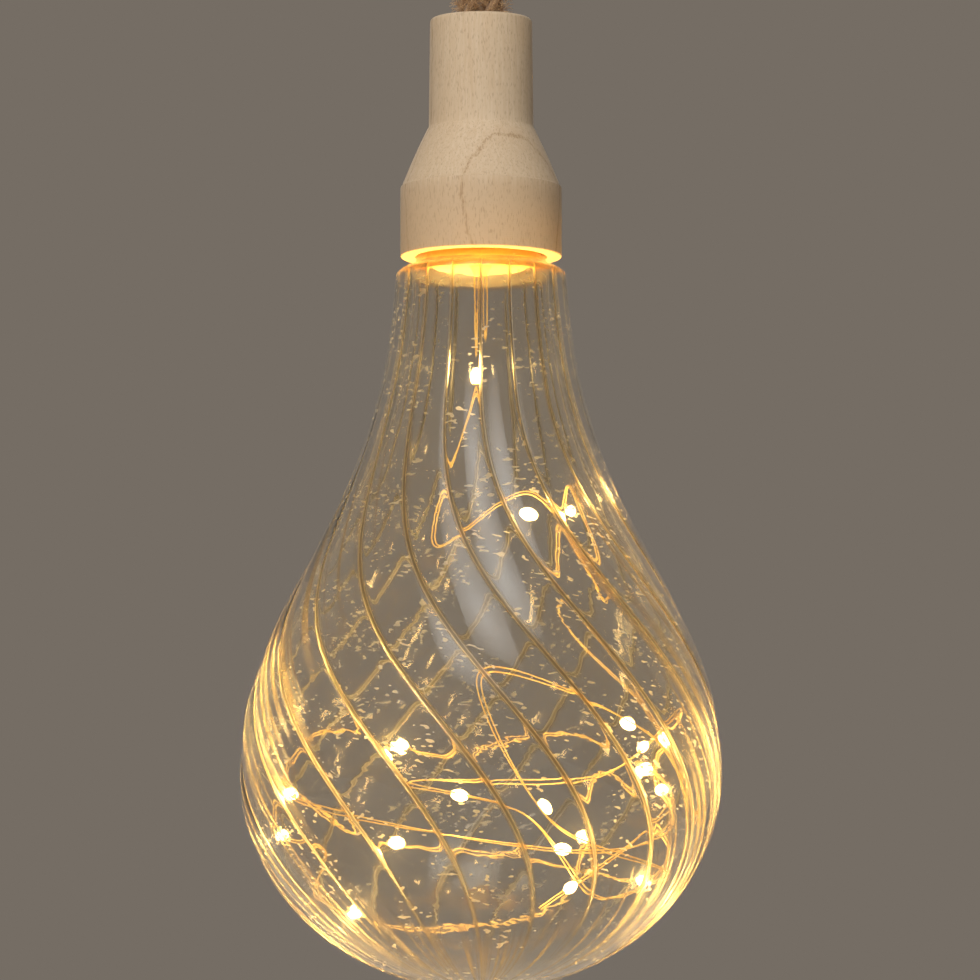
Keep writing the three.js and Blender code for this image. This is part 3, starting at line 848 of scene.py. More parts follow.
@dataclass(frozen=True)
class GlassFinish(Finish):
    """Clear blown glass with a trace of amber, frosted creases, streaked flanks and flocks of dimples, tinted
    in places to paint light: gold glints and dark shade along the creases, a gold glow on the flanks, warm
    glints on the dimples and an orange glow at the joint.
    """

    name: str = "clear_glass_finish"
    tint: Colour = linear(254, 252, 248)
    warm_tint: Colour = linear(252, 247, 238)
    ior: float = 1.46
    clearness: float = 0.999
    sheen: float = 0.1
    sheen_tint: Colour = (1.0, 0.93, 0.78, 1.0)
    # Painted gold glint along the creases' sides, and painted dark shade in their cores.
    crease_glint_tint: Colour = linear(242, 216, 160)
    crease_shade_tint: Colour = linear(100, 77, 42)
    # Painted orange glow of the lit plug and cap underside, in a band at the neck's joint.
    joint_glow_tint: Colour = linear(255, 206, 120)
    joint_glow_depths: Pair = (7.6, 5.2)
    crease_roughness: float = 0.28
    crease_within: float = 0.4
    inner_roughness: float = 0.045
    # Painted gold glow of the lights on the flanks.
    streak_glow_tint: Colour = linear(206, 164, 96)
    streak_roughness: float = 0.27
    streak_radius: float = 75 * MM
    streak_run: float = 0.012
    streak_depths: Pair = (48.0, 80.0)
    # Painted warm glints on the dimples.
    dimple_glint_tint: Colour = linear(252, 230, 182)
    dimple_roughness: float = 0.36
    ripple_depth: float = 0.5 * MM

    def looks(self, w: Wiring, shared: Finishes) -> dict[str, Any]:
        """A clear wall, rougher in the creases, streaks, dimples and the joint, so that they catch light, and
        tinted there with painted light: gold crease glints, dark crease shade, gold flank glow, warm dimple
        glints and an orange joint glow.

        Args:
            w: The material's wiring.
            shared: The shared groups.

        Returns:
            A value for each of the shader's inputs, by name.
        """
        made = shared.mottle.place(
            w, Light=self.tint, Dark=self.warm_tint, Cloud_Scale=24.0, Grain_Scale=240.0, Roughness=0.0,
            Spread=0.012,
        )
        outer, crease, blown = w.kept("wall_side"), w.kept("crease"), w.kept("untwisted", "Vector")
        inner = w.minus(1.0, outer)
        high = w.parts(blown)[2]
        # joint is the band of painted orange glow at the neck; belly bounds the flank streaks.
        joint, belly = (
            w.mapped(high, *(CAP_FACE_HEIGHT - depth * MM for depth in depths))
            for depths in (self.joint_glow_depths, self.streak_depths)
        )

        within = w.add("ShaderNodeNewGeometry")["Backfacing"]
        seen = w.minus(1.0, w.times(within, 1.0 - self.crease_within))
        frost = w.times(w.mapped(crease, 0.12, 0.7, (0.0, self.crease_roughness)), seen)
        # edge carries a painted gold glint, and core a painted dark shade.
        edge = w.times(w.mapped(crease, 0.1, 0.5), seen)
        core = w.times(w.mapped(crease, 0.66, 0.95, (0.0, 0.9)), seen)

        facing = w.add("ShaderNodeLayerWeight", {"Blend": 0.5})["Facing"]
        flat = w.vectors("NORMALIZE", w.vectors("MULTIPLY", blown, (1.0, 1.0, 0.0)))
        down = w.vectors("MULTIPLY", blown, (0.0, 0.0, self.streak_run))
        meridian = w.vectors("ADD", w.stretched(flat, self.streak_radius), down)
        # The flank streaks carry a painted gold glow, strongest towards the outline.
        flank = w.times(w.mapped(facing, 0.26, 0.54), belly, outer)
        streaks = w.times(w.mapped(w.noise(meridian, 420.0, 1.0), 0.48, 0.6), flank)

        # The dimples carry painted warm glints.
        dimples = w.mapped(w.noise(w.vectors("MULTIPLY", blown, (0.45, 0.45, 1.0)), 950.0, 0.0), 0.67, 0.706)
        dimples = w.times(dimples, w.mapped(w.noise(blown, 60.0, 1.0), 0.505, 0.56), inner)

        colour = made["Color"]
        for share, tint in (
            (edge, self.crease_glint_tint), (core, self.crease_shade_tint), (streaks, self.streak_glow_tint),
            (dimples, self.dimple_glint_tint), (joint, self.joint_glow_tint),
        ):
            colour = w.colours(share, colour, tint)
        rough = w.largest(
            w.times(streaks, self.streak_roughness), w.times(dimples, self.dimple_roughness),
            w.times(joint, self.streak_roughness), frost, w.times(inner, self.inner_roughness),
        )

        waves = w.noise(w.vectors("MULTIPLY", blown, (1.0, 1.0, 0.4)), 70.0, 1.5)
        ripples = w.noise(w.vectors("MULTIPLY", blown, (0.6, 0.6, 1.0)), 420.0, 1.0)
        patches = w.mapped(w.noise(blown, 34.0, 1.0), 0.48, 0.62, (0.02, 0.4))
        return {
            "Base Color": colour,
            "Roughness": w.plus(made["Roughness"], rough),
            "IOR": self.ior,
            "Transmission Weight": self.clearness,
            "Sheen Weight": self.sheen,
            "Sheen Roughness": 0.3,
            "Sheen Tint": self.sheen_tint,
            "Normal": w.bumped(w.plus(waves, w.times(ripples, inner, patches)), 0.25, self.ripple_depth),
        }

    def material(self, shared: Finishes) -> Material:
        """Builds the material. A shadow ray goes straight through, so that the lights reach the cap.

        Args:
            shared: The shared groups.

        Returns:
            The material.
        """
        material = super().material(shared)
        w = Wiring(material.node_tree)
        shadow = w.add("ShaderNodeLightPath")["Is Shadow Ray"]
        glass, through = node_of(material, "BSDF_PRINCIPLED").outputs[0], w.first("ShaderNodeBsdfTransparent")
        mixed = w.first("ShaderNodeMixShader", {0: shadow, 1: glass, 2: through})
        w.put(node_of(material, "OUTPUT_MATERIAL").inputs["Surface"], mixed)
        return material


@dataclass(frozen=True)
class LitDropFinish(Finish):
    """A resin drop lit from inside, brightest round its light and amber towards its tips."""

    name: str = "lit_drop_finish"
    core: Colour = (1.0, 0.68, 0.25, 1.0)
    rim: Colour = (0.002, 0.0011, 0.0003, 1.0)
    strength: float = 1000.0

    def looks(self, w: Wiring, shared: Finishes) -> dict[str, Any]:
        """A glow that fades towards the drop's ends, a little uneven.

        Args:
            w: The material's wiring.
            shared: The shared groups; not used.

        Returns:
            A value for each of the shader's inputs, by name.
        """
        cloud = w.noise(w.object_place(), 900.0, 2.0)
        share = w.times(w.mapped(w.kept("glow"), 0.12, 0.8), w.mapped(cloud, 0.2, 0.7, (0.75, 1.0)))
        colour = w.colours(share, self.rim, self.core)
        return {
            "Base Color": colour,
            "Emission Color": colour,
            "Emission Strength": self.strength,
            "Roughness": 0.12,
        }


@dataclass(frozen=True)
class FloorFinish(Finish):
    """A matt pale floor, a little uneven."""

    name: str = "floor_finish"
    light: Colour = linear(206, 201, 194)
    darkening: float = 0.94

    def looks(self, w: Wiring, shared: Finishes) -> dict[str, Any]:
        """Large faint clouds."""
        dark = (*(c * self.darkening for c in self.light[:3]), 1.0)
        return {"Base Color": w.colours(w.noise(w.object_place(), 0.8), self.light, dark), "Roughness": 0.9}


# Camera, floor and light


@dataclass
class ProductCamera:
    """A long lens from a little below, at the photograph's viewing angle."""

    distance: float = 3.2
    rise_deg: float = 7.2
    metres_per_pixel: float = 0.3138 * MM
    axis_pixel: float = 481.0
    aim_height: float = -0.2998
    sensor: float = 36.0
    reach: float = 60.0

    def place(self) -> Piece:
        """Makes the scene's camera.

        Returns:
            The camera.
        """
        data = bpy.data.cameras.new("product_camera")
        data.sensor_width = self.sensor
        data.sensor_fit = "HORIZONTAL"
        data.lens = self.sensor * self.distance / (PICTURE_SIDE * self.metres_per_pixel)
        data.clip_end = self.reach
        camera = add_object("product_camera", data)
        rise = math.radians(self.rise_deg)
        aside = (PICTURE_SIDE / 2 - self.axis_pixel) * self.metres_per_pixel
        back, down = self.distance * math.cos(rise), self.distance * math.sin(rise)
        camera.location = (aside, -back, self.aim_height - down)
        camera.rotation_euler = (math.pi / 2 + rise, 0, 0)
        bpy.context.scene.camera = camera
        return camera


@dataclass
class SoftLamp:
    """A soft rectangular studio lamp that points at the lamp's middle."""

    name: str
    place: Triple
    size: Pair
    power: float
    colour: Triple = (1.0, 1.0, 1.0)
    spread_deg: float = 50.0

    def hang(self, aim: Vector) -> Piece:
        """Puts the lamp in the scene.

        Args:
            aim: The point that it faces.

        Returns:
            The lamp.
        """
        data = bpy.data.lights.new(self.name, "AREA")
        data.shape = "RECTANGLE"
        data.size, data.size_y = self.size
        data.energy = self.power
        data.color = self.colour
        data.spread = math.radians(self.spread_deg)
        lamp = add_object(self.name, data)
        lamp.location = self.place
        lamp.rotation_euler = (aim - Vector(self.place)).to_track_quat("-Z", "Y").to_euler()
        return lamp


@dataclass
class Studio:
    """The plain floor, the grey surroundings and the soft lamp."""

    backdrop: Colour = linear(117, 109, 100)
    daylight: Colour = (1.0, 0.985, 0.96, 1.0)
    floor_height: float = -1.6
    floor_side: float = 14.0
    side_fill: float = 0.03
    front_fill: float = 4.8
    front: Triple = (-0.27, -0.85, 0.46)
    front_edge: float = 0.85
    rear_fill: float = 1.7
    rear: Triple = (-0.1, 0.9, 0.42)
    rear_edge: float = 0.75
    aim: Triple = (0.0, 0.0, -0.3)

    def build(self, shared: Finishes) -> None:
        """Makes the world, the floor and the lamp.

        Args:
            shared: The shared groups.
        """
        self._world()
        self._floor(FloorFinish().material(shared))
        SoftLamp("overhead_softbox", (0.06, -0.8, 0.84), (0.85, 1.2), 0.7).hang(Vector(self.aim))

    def _world(self) -> None:
        """A faint light all round and stronger patches in front and behind, but a warm grey to look at."""
        world = bpy.data.worlds.new("grey_surroundings")
        bpy.context.scene.world = world
        world.use_nodes = True
        world.node_tree.nodes.clear()
        w = Wiring(world.node_tree)
        way = w.add("ShaderNodeTexCoord")["Generated"]
        front = w.mapped(w.dot(way, self.front), self.front_edge, 1.0, (self.side_fill, self.front_fill))
        rear = w.mapped(w.dot(way, self.rear), self.rear_edge, 1.0, (0.0, self.rear_fill))
        light = w.first("ShaderNodeBackground", {"Color": self.daylight, "Strength": w.plus(front, rear)})
        seen = w.first("ShaderNodeBackground", {"Color": self.backdrop, "Strength": 1.0})
        mixed = w.first("ShaderNodeMixShader", {0: looking(w), 1: light, 2: seen})
        w.add("ShaderNodeOutputWorld", {"Surface": mixed})

    def _floor(self, finish: Material) -> None:
        """A plain pale floor, far below the hanging lamp.

        Args:
            finish: The floor's material.
        """
        half = self.floor_side / 2
        corners = [(-half, -half), (half, -half), (half, half), (-half, half)]
        mesh = bpy.data.meshes.new("floor")
        mesh.from_pydata([(x, y, self.floor_height) for x, y in corners], [], [(0, 1, 2, 3)])
        mesh.materials.append(finish)
        floor = add_object("floor", mesh)


def looking(w: Wiring) -> Output:
    """1 for a ray from the camera or one that gloss or glass sent on, and 0 for the rest."""
    path = w.add("ShaderNodeLightPath")
    return w.largest(path["Is Camera Ray"], path["Is Glossy Ray"], path["Is Transmission Ray"])


# The rope


@dataclass
class HangingRope:
    """A loop of three-strand jute rope, its stopper knot and its loose hairs.

    Lengths are in the source's millimetres, or in metres where they are multiplied by MM.
    """

    diameter: float = 6.4 * MM
    leg_offset: float = 3.4
    loop_radius: float = 13.4
    loop_centre: float = 139.8
    cap_height: float = 76.0
    foot_depth: float = 9.0
    span_steps: int = 14
    rows: int = 420
    strands: int = 3
    strand_middle: float = 0.5359
    strand_radius: float = 0.4641
    groove_floor: float = 0.6
    lay: float = 21 * MM
    corners: int = 48
    knot_height: float = 62.0
    knot_reach: float = 5.0
    knot_swing: float = 2.1
    knot_rise: float = 2.0
    knot_cord_radius: float = 2.6 * MM
    knot_corners: int = 30
    knot_rows: int = 120
    hair_count: float = 560000.0
    hair_length: float = 4.4 * MM
    hair_radius: float = 0.075 * MM
    hair_seed: int = 11
    fray_from: float = 1.5
    fray_height: float = 10.0
    fray_count: float = 1900000.0
    fray_longer: float = 1.3
    fray_seed: int = 29

    def route(self) -> list[Vector]:
        """The rope's middle line, as in the source: up one leg, round the loop and down the other.

        Returns:
            Its points in the row frame.
        """
        spread = self.loop_radius - self.leg_offset
        leg = [(self.leg_offset, z) for z in (-self.foot_depth, -self.foot_depth / 2, 0.0)]
        shares = (0.06, 0.2, 0.4, 0.6, 0.8, 0.94)
        leg += [(self.leg_offset + spread * s, s * self.loop_centre) for s in shares]
        top = [
            (self.loop_radius * math.cos(turn), self.loop_centre + self.loop_radius * math.sin(turn))
            for turn in (math.radians(a) for a in range(180, -1, -30))
        ]
        flat = [(-x, z) for x, z in leg] + top + leg[::-1]
        return [row_point(x, 0.0, self.cap_height + z) for x, z in flat]

    def recipe(self) -> GeometryRecipe:
        """The tree that lays strands round a line.

        Returns:
            The tree.
        """
        recipe = GeometryRecipe("laid_rope")
        w = recipe.wiring
        radius, lay = recipe.sizes("Radius", "Lay")
        strands, corners = recipe.size("Strands", Socket.WHOLE), recipe.size("Corners", Socket.WHOLE)

        length = w.along_spline("Length")
        curve = w.first("GeometryNodeMeshToCurve", {"Mesh": recipe.source})
        tilt = w.times(w.over(length, lay), FULL_TURN)
        curve = w.first("GeometryNodeSetCurveTilt", {"Curve": curve, "Tilt": tilt})
        curve = w.stored(curve, "along", length)

        share = w.along_spline("Factor")
        ring = w.stored(w.ring(corners, 1.0), "around", share)
        strand_share = w.maths("FRACT", w.times(share, strands))
        angle = w.over(w.times(w.minus(strand_share, 0.5), FULL_TURN), strands)
        across = w.times(w.maths("SINE", angle), self.strand_middle)
        bulge = w.maths("SQRT", w.largest(w.minus(self.strand_radius**2, w.power(across, 2.0)), 0.0))
        reach = w.plus(w.times(w.maths("COSINE", angle), self.strand_middle), bulge)
        reach = w.largest(reach, self.groove_floor)
        ring = w.stored(ring, "groove", reach)
        ring = w.moved(ring, w.stretched(w.position(), w.times(reach, radius)))
        recipe.close(w.swept(curve, ring))
        return recipe

    def hair_recipe(self) -> GeometryRecipe:
        """The tree that sets short bent hairs on a rope's surface.

        Returns:
            The tree.
        """
        recipe = GeometryRecipe("loose_hairs")
        w = recipe.wiring
        density, length, thickness = recipe.sizes("Density", "Length", "Thickness")
        seed = recipe.size("Seed", Socket.WHOLE)
        spread = {"Mesh": recipe.source, "Density": density, "Seed": seed}
        spots = w.add("GeometryNodeDistributePointsOnFaces", spread)
        bend = {"Resolution": 5, "Start": (0, 0, -0.1), "Middle": (0.02, 0, 0.35), "End": (0.5, 0, 0.75)}
        strand = w.first("GeometryNodeCurveQuadraticBezier", bend)
        hair = w.swept(w.moved(strand, w.stretched(w.position(), length)), w.ring(3, thickness))
        leans = {0: (-1.1, -1.1, -3.1), 1: (1.1, 1.1, 3.1), "Seed": seed}
        lean = w.first("FunctionNodeRandomValue", leans, data_type="FLOAT_VECTOR")
        both = {0: spots["Rotation"], 1: lean}
        turned = w.first("FunctionNodeRotateRotation", both, rotation_space="LOCAL")
        recipe.close(w.first("GeometryNodeInstanceOnPoints", {
            "Points": spots["Points"],
            "Instance": hair,
            "Rotation": turned,
            "Scale": w.random(0.35, 1.0, seed),
        }))
        return recipe

    def foot_mesh(self, rope: Mesh) -> Mesh:
        """The faces of the two legs just above the cap, where the yarns have frayed.

        Args:
            rope: The finished rope's mesh.

        Returns:
            A mesh of those faces.
        """
        low = row_point(0, 0, self.cap_height + self.fray_from).z
        high = low + self.fray_height * MM
        mesh = bpy.data.meshes.new("rope_feet")
        faces = [tuple(f.vertices) for f in rope.polygons if low < f.center.z < high]
        mesh.from_pydata([tuple(v.co) for v in rope.vertices], [], faces)
        return mesh

    def knot_line(self) -> list[Vector]:
        """A tight overhand knot's middle line, a flattened trefoil.

        Returns:
            Its points in the row frame.
        """
        line = []
        for turn in (FULL_TURN * step / self.knot_rows for step in range(self.knot_rows + 1)):
            reach = self.knot_reach + self.knot_swing * math.cos(3 * turn)
            height = self.knot_height + self.knot_rise * math.sin(3 * turn)
            line.append(row_point(reach * math.cos(2 * turn), reach * math.sin(2 * turn), height))
        return line

    def build(self, rope_finish: Material, hair_finish: Material) -> list[Piece]:
        """Args:
            rope_finish: The laid rope's material.
            hair_finish: The loose hairs' material.

        Returns:
            The pieces.
        """
        line = centripetal_line(self.route(), self.span_steps)
        recipe, hair_recipe = self.recipe(), self.hair_recipe()
        laid = {"Material": rope_finish, "Lay": self.lay, "Strands": self.strands}
        rope = recipe.bake(
            line_mesh("rope_line", evenly_spaced(line, self.rows)), "jute_rope",
            {**laid, "Radius": self.diameter / 2, "Corners": self.corners},
        )
        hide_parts("hanging_rope")
        knot = recipe.bake(
            line_mesh("knot_line", self.knot_line()), "rope_knot",
            {**laid, "Radius": self.knot_cord_radius, "Corners": self.knot_corners},
        )
        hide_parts("stopper_knot")
        thin = {"Material": hair_finish, "Thickness": self.hair_radius}
        hairs = hair_recipe.bake(
            rope.data.copy(), "rope_hairs",
            {**thin, "Density": self.hair_count, "Length": self.hair_length, "Seed": self.hair_seed},
        )
        fray_length = self.fray_longer * self.hair_length
        fray = hair_recipe.bake(
            self.foot_mesh(rope.data), "rope_fray",
            {**thin, "Density": self.fray_count, "Length": fray_length, "Seed": self.fray_seed},
        )
        pieces = [rope, knot, hairs, fray]
        for piece in pieces:
            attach(piece, Body.HANGER.value)
        [tuple(p) for p in evenly_spaced(line, 200)]
        return pieces


# The wooden cap


@dataclass
class WoodenCap:
    """The turned cap in millimetres: skirt, cone and neck outside, two bores and the rope's hole inside."""

    height: float = 76.0
    skirt_radius: float = 25.4
    skirt_height: float = 22.0
    shoulder_step: float = 0.5
    cone_height: float = 19.0
    cone_swell: float = 0.25
    neck_radius: float = 16.5
    top_radius: float = 16.1
    top_round: float = 1.2
    foot_chamfer: float = 0.5
    neck_bore: float = 20.8
    neck_bore_depth: float = 16.2
    carrier_bore: float = 13.1
    ceiling: float = 68.5
    rope_hole: float = 7.4
    rope_hole_chamfer: float = 0.4
    columns: int = 160
    sharp_deg: float = 28.0

    def outline(self) -> list[Pair]:
        """The cap's section, anticlockwise, with rounded corners and a slight swell in the cone.

        Returns:
            Radius and height of each corner.
        """
        skirt, cone_top = self.skirt_radius, self.skirt_height + self.cone_height
        points = [(self.neck_bore, 0.0), (skirt - self.foot_chamfer, 0.0)]
        for turn in (math.radians(90 * step / 4) for step in range(1, 4)):
            inward, up = self.foot_chamfer * (1 - math.sin(turn)), self.foot_chamfer * (1 - math.cos(turn))
            points.append((skirt - inward, up))
        points += [(skirt, self.foot_chamfer), (skirt, self.skirt_height / 2)]
        points += [(skirt, self.skirt_height - 0.1), (skirt - 0.1, self.skirt_height + 0.2)]
        low = (skirt - self.shoulder_step, self.skirt_height + self.shoulder_step)
        high = (self.neck_radius + self.shoulder_step, cone_top - self.shoulder_step)
        for t in (step / 12 for step in range(13)):
            swell = self.cone_swell * math.sin(math.pi * t)
            points.append((low[0] + (high[0] - low[0]) * t + swell, low[1] + (high[1] - low[1]) * t))
        neck_foot = cone_top + self.shoulder_step
        neck_run = self.height - self.top_round - cone_top - self.shoulder_step
        points += [(self.neck_radius + 0.16, cone_top + 0.1), (self.neck_radius, neck_foot)]
        flare = self.top_radius - self.neck_radius
        shares = [step / 9 for step in range(1, 9)]
        points += [(self.neck_radius + flare * t, neck_foot + neck_run * t) for t in shares]
        for turn in (math.radians(90 * step / 6) for step in range(7)):
            inward, down = self.top_round * (1 - math.cos(turn)), self.top_round * (1 - math.sin(turn))
            points.append((self.top_radius - inward, self.height - down))
        points += [
            (self.rope_hole + self.rope_hole_chamfer, self.height),
            (self.rope_hole, self.height - self.rope_hole_chamfer),
            (self.rope_hole, self.ceiling),
            (self.carrier_bore, self.ceiling),
            (self.carrier_bore, self.neck_bore_depth),
            (self.neck_bore, self.neck_bore_depth),
        ]
        return points

    def build(self, finish: Material) -> Piece:
        """Makes the cap.

        Args:
            finish: The wood's material.

        Returns:
            The cap.
        """
        angles = [FULL_TURN * j / self.columns for j in range(self.columns)]
        mesh = turned_mesh("turned_cap", self.outline(), angles)
        mesh.materials.append(finish)
        mesh.set_sharp_from_angle(angle=math.radians(self.sharp_deg))
        cap = add_object("turned_cap", mesh)
        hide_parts("wooden_cap")
        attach(cap, Body.CAP.value)
        return cap


# The glass bulb


@dataclass
class GlassBulb:
    """The blown bulb in millimetres: a pear with a neck, a wall, and flutes that turn as they go down."""

    radius: float = 75.0
    widest_depth: float = 163.0
    height: float = 231.0
    shoulder_radius: float = 26.4
    shoulder_depth: float = 6.0
    flank_lower_pull: float = 56.0
    flank_upper_pull: float = 82.0
    flank_slope: float = 0.047
    wall: float = 1.8
    neck_radius: float = 20.3
    neck_insert: float = 12.0
    neck_clearance: float = 0.5
    flutes: int = 18
    flute_depth: float = 0.42
    flute_softness: float = 0.045
    crease_depth: float = 0.16
    crease_width: float = 0.55
    crease_growth: float = 0.85
    crease_fade: float = 0.35
    twist_deg: float = 80.0
    twist_start: float = 45.0
    columns_per_flute: int = 20
    crowding: float = 0.9
    belly_rows: int = 46
    flank_rows: int = 74
    neck_rows: int = 14
    inner_detail: float = 0.7

    def _bezier(self, corners: Sequence[Pair], steps: int) -> list[Pair]:
        """Points on a cubic curve.

        Args:
            corners: Its four control points.
            steps: How many lines stand for it.

        Returns:
            Its points after the first.
        """
        made = []
        for t in (step / steps for step in range(1, steps + 1)):
            weights = ((1 - t) ** 3, 3 * (1 - t) ** 2 * t, 3 * (1 - t) * t * t, t**3)
            made.append(tuple(sum(k * p[i] for k, p in zip(weights, corners)) for i in (0, 1)))
        return made

    def outside(self, detail: float = 1.0) -> list[Pair]:
        """The bulb's outer section from the pole up to the neck's rim.

        Args:
            detail: A share of the full number of rows.

        Returns:
            Radius and height of each point.
        """
        deep = self.height - self.widest_depth
        belly_rows = round(self.belly_rows * detail)
        points = []
        for turn in (math.pi / 2 * step / belly_rows for step in range(belly_rows + 1)):
            points.append((self.radius * math.sin(turn), -self.widest_depth - deep * math.cos(turn)))
        points[0] = (0.0, -self.height)
        scale = self.flank_upper_pull / math.hypot(self.flank_slope, 1)
        shoulder = (self.shoulder_radius, -self.shoulder_depth)
        flank = [
            (self.radius, -self.widest_depth),
            (self.radius, -self.widest_depth + self.flank_lower_pull),
            (shoulder[0] + self.flank_slope * scale, shoulder[1] - scale),
            shoulder,
        ]
        points += self._bezier(flank, round(self.flank_rows * detail))
        pull = self.shoulder_depth / 2
        neck = [
            shoulder,
            (shoulder[0], shoulder[1] + pull),
            (self.neck_radius, -self.neck_clearance - pull),
            (self.neck_radius, -self.neck_clearance),
        ]
        points += self._bezier(neck, max(6, round(self.neck_rows * detail)))
        points += [(self.neck_radius, self.neck_insert * share) for share in (0.3, 0.65, 0.95)]
        return points

    def section(self) -> list[Pair]:
        """The whole wall's section: up the outside, over the rim and down the inside.

        Returns:
            Radius and height of each point.
        """
        outer, inner = self.outside(), self.outside(self.inner_detail)
        shrunk = []
        for i, (radius, height) in enumerate(inner):
            before, after = inner[max(0, i - 1)], inner[min(i + 1, len(inner) - 1)]
            along = Vector((after[0] - before[0], after[1] - before[1])).normalized()
            shrunk.append((max(0.0, radius - self.wall * along.y), height + self.wall * along.x))
        shrunk[0] = (0.0, -self.height + self.wall)
        half = self.wall / 2
        rim = [
            (self.neck_radius - half + half * math.cos(a), self.neck_insert - half + half * math.sin(a))
            for a in (math.radians(d) for d in (30, 60, 90, 120, 150))
        ]
        outer, shrunk = ([p for p in side if p[1] <= self.neck_insert - half] for side in (outer, shrunk))
        return outer + rim + shrunk[::-1]

    def angles(self) -> list[float]:
        """The angle of each column, crowded together along the creases between the flutes.

        Returns:
            The angles in radians, in order.
        """
        pitch = FULL_TURN / self.flutes
        made = []
        for flute in range(self.flutes):
            for j in range(self.columns_per_flute):
                share = j / self.columns_per_flute
                share -= self.crowding * math.sin(FULL_TURN * share) / FULL_TURN
                made.append(pitch * (flute + 0.5 + share))
        return made

    def recipe(self) -> GeometryRecipe:
        """The tree that presses turning flutes into a plain pear.

        Returns:
            The tree.
        """
        recipe = GeometryRecipe("turning_flutes")
        w = recipe.wiring
        flutes = recipe.size("Flutes", Socket.WHOLE)
        depth, twist, start = recipe.sizes("Flute Depth", "Twist", "Twist Start")
        crease_depth, crease_width = recipe.sizes("Crease Depth", "Crease Width")
        face, widest, pole, ease = recipe.sizes("Cap Face", "Widest", "Pole", "Ease")

        x, y, z = w.parts(w.position())
        below = w.minus(face, z)
        radius = w.maths("SQRT", w.plus(w.power(x, 2.0), w.power(y, 2.0)))
        angle = w.maths("ARCTAN2", y, x)
        faded = w.times(w.mapped(below, 0.0, ease), w.mapped(below, widest, pole, (1.0, 0.0)))

        soft = self.flute_softness**2
        wave = w.maths("COSINE", w.over(w.times(angle, flutes), 2.0))
        lobe = w.times(w.maths("SQRT", w.plus(w.power(wave, 2.0), soft)), 2.0)
        lobe = w.minus(lobe, 1.0 + 2 * (math.sqrt(1 + soft) - 1))

        away = w.times(w.maths("ARCSINE", w.maths("ABSOLUTE", wave)), w.over(2.0, flutes))
        grown = w.power(w.over(radius, self.shoulder_radius * MM), self.crease_growth)
        width = w.largest(w.times(crease_width, grown), 1e-6)
        reach = w.over(w.times(away, radius), width)
        crease = w.power(math.e, w.times(w.power(reach, 2.0), -1.0))
        cut = w.times(crease_depth, crease, w.read("wall_side"))
        pressed = w.times(faded, w.minus(w.times(depth, lobe), cut))

        turned = w.plus(angle, w.times(twist, w.mapped(below, start, pole)))
        off_axis = w.minus(1.0, w.maths("LESS_THAN", radius, 1e-7))
        radius = w.times(w.plus(radius, pressed), off_axis)
        flat = (w.times(radius, w.maths(word, turned)) for word in ("COSINE", "SINE"))
        marked = w.stored(recipe.source, "untwisted", w.position(), "FLOAT_VECTOR")
        marked = w.stored(marked, "crease", w.times(crease, w.power(faded, self.crease_fade)))
        recipe.close(w.moved(marked, w.joined(*flat, z)))
        return recipe

    def build(self, finish: Material) -> Piece:
        """Makes the bulb.

        Args:
            finish: The glass's material.

        Returns:
            The bulb.
        """
        section = self.section()
        columns = self.flutes * self.columns_per_flute
        plain = turned_mesh("plain_pear", section, self.angles())
        rim_row = max(range(len(section)), key=lambda i: section[i][1])
        sides = [1.0 if i <= rim_row else 0.0 for i in range(1, len(section) - 1) for _ in range(columns)]
        sides += [1.0, 0.0]
        plain.attributes.new("wall_side", "FLOAT", "POINT").data.foreach_set("value", sides)
        bulb = self.recipe().bake(plain, "fluted_bulb", {
            "Material": finish,
            "Flutes": self.flutes,
            "Flute Depth": self.flute_depth * MM,
            "Crease Depth": self.crease_depth * MM,
            "Crease Width": self.crease_width * MM,
            "Twist": math.radians(self.twist_deg),
            "Twist Start": self.twist_start * MM,
            "Cap Face": CAP_FACE_HEIGHT,
            "Widest": self.widest_depth * MM,
            "Pole": self.height * MM,
            "Ease": 2 * self.shoulder_depth * MM,
        })
        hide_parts("glass_bulb")
        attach(bulb, Body.BULB.value)
        return bulb


# The light string


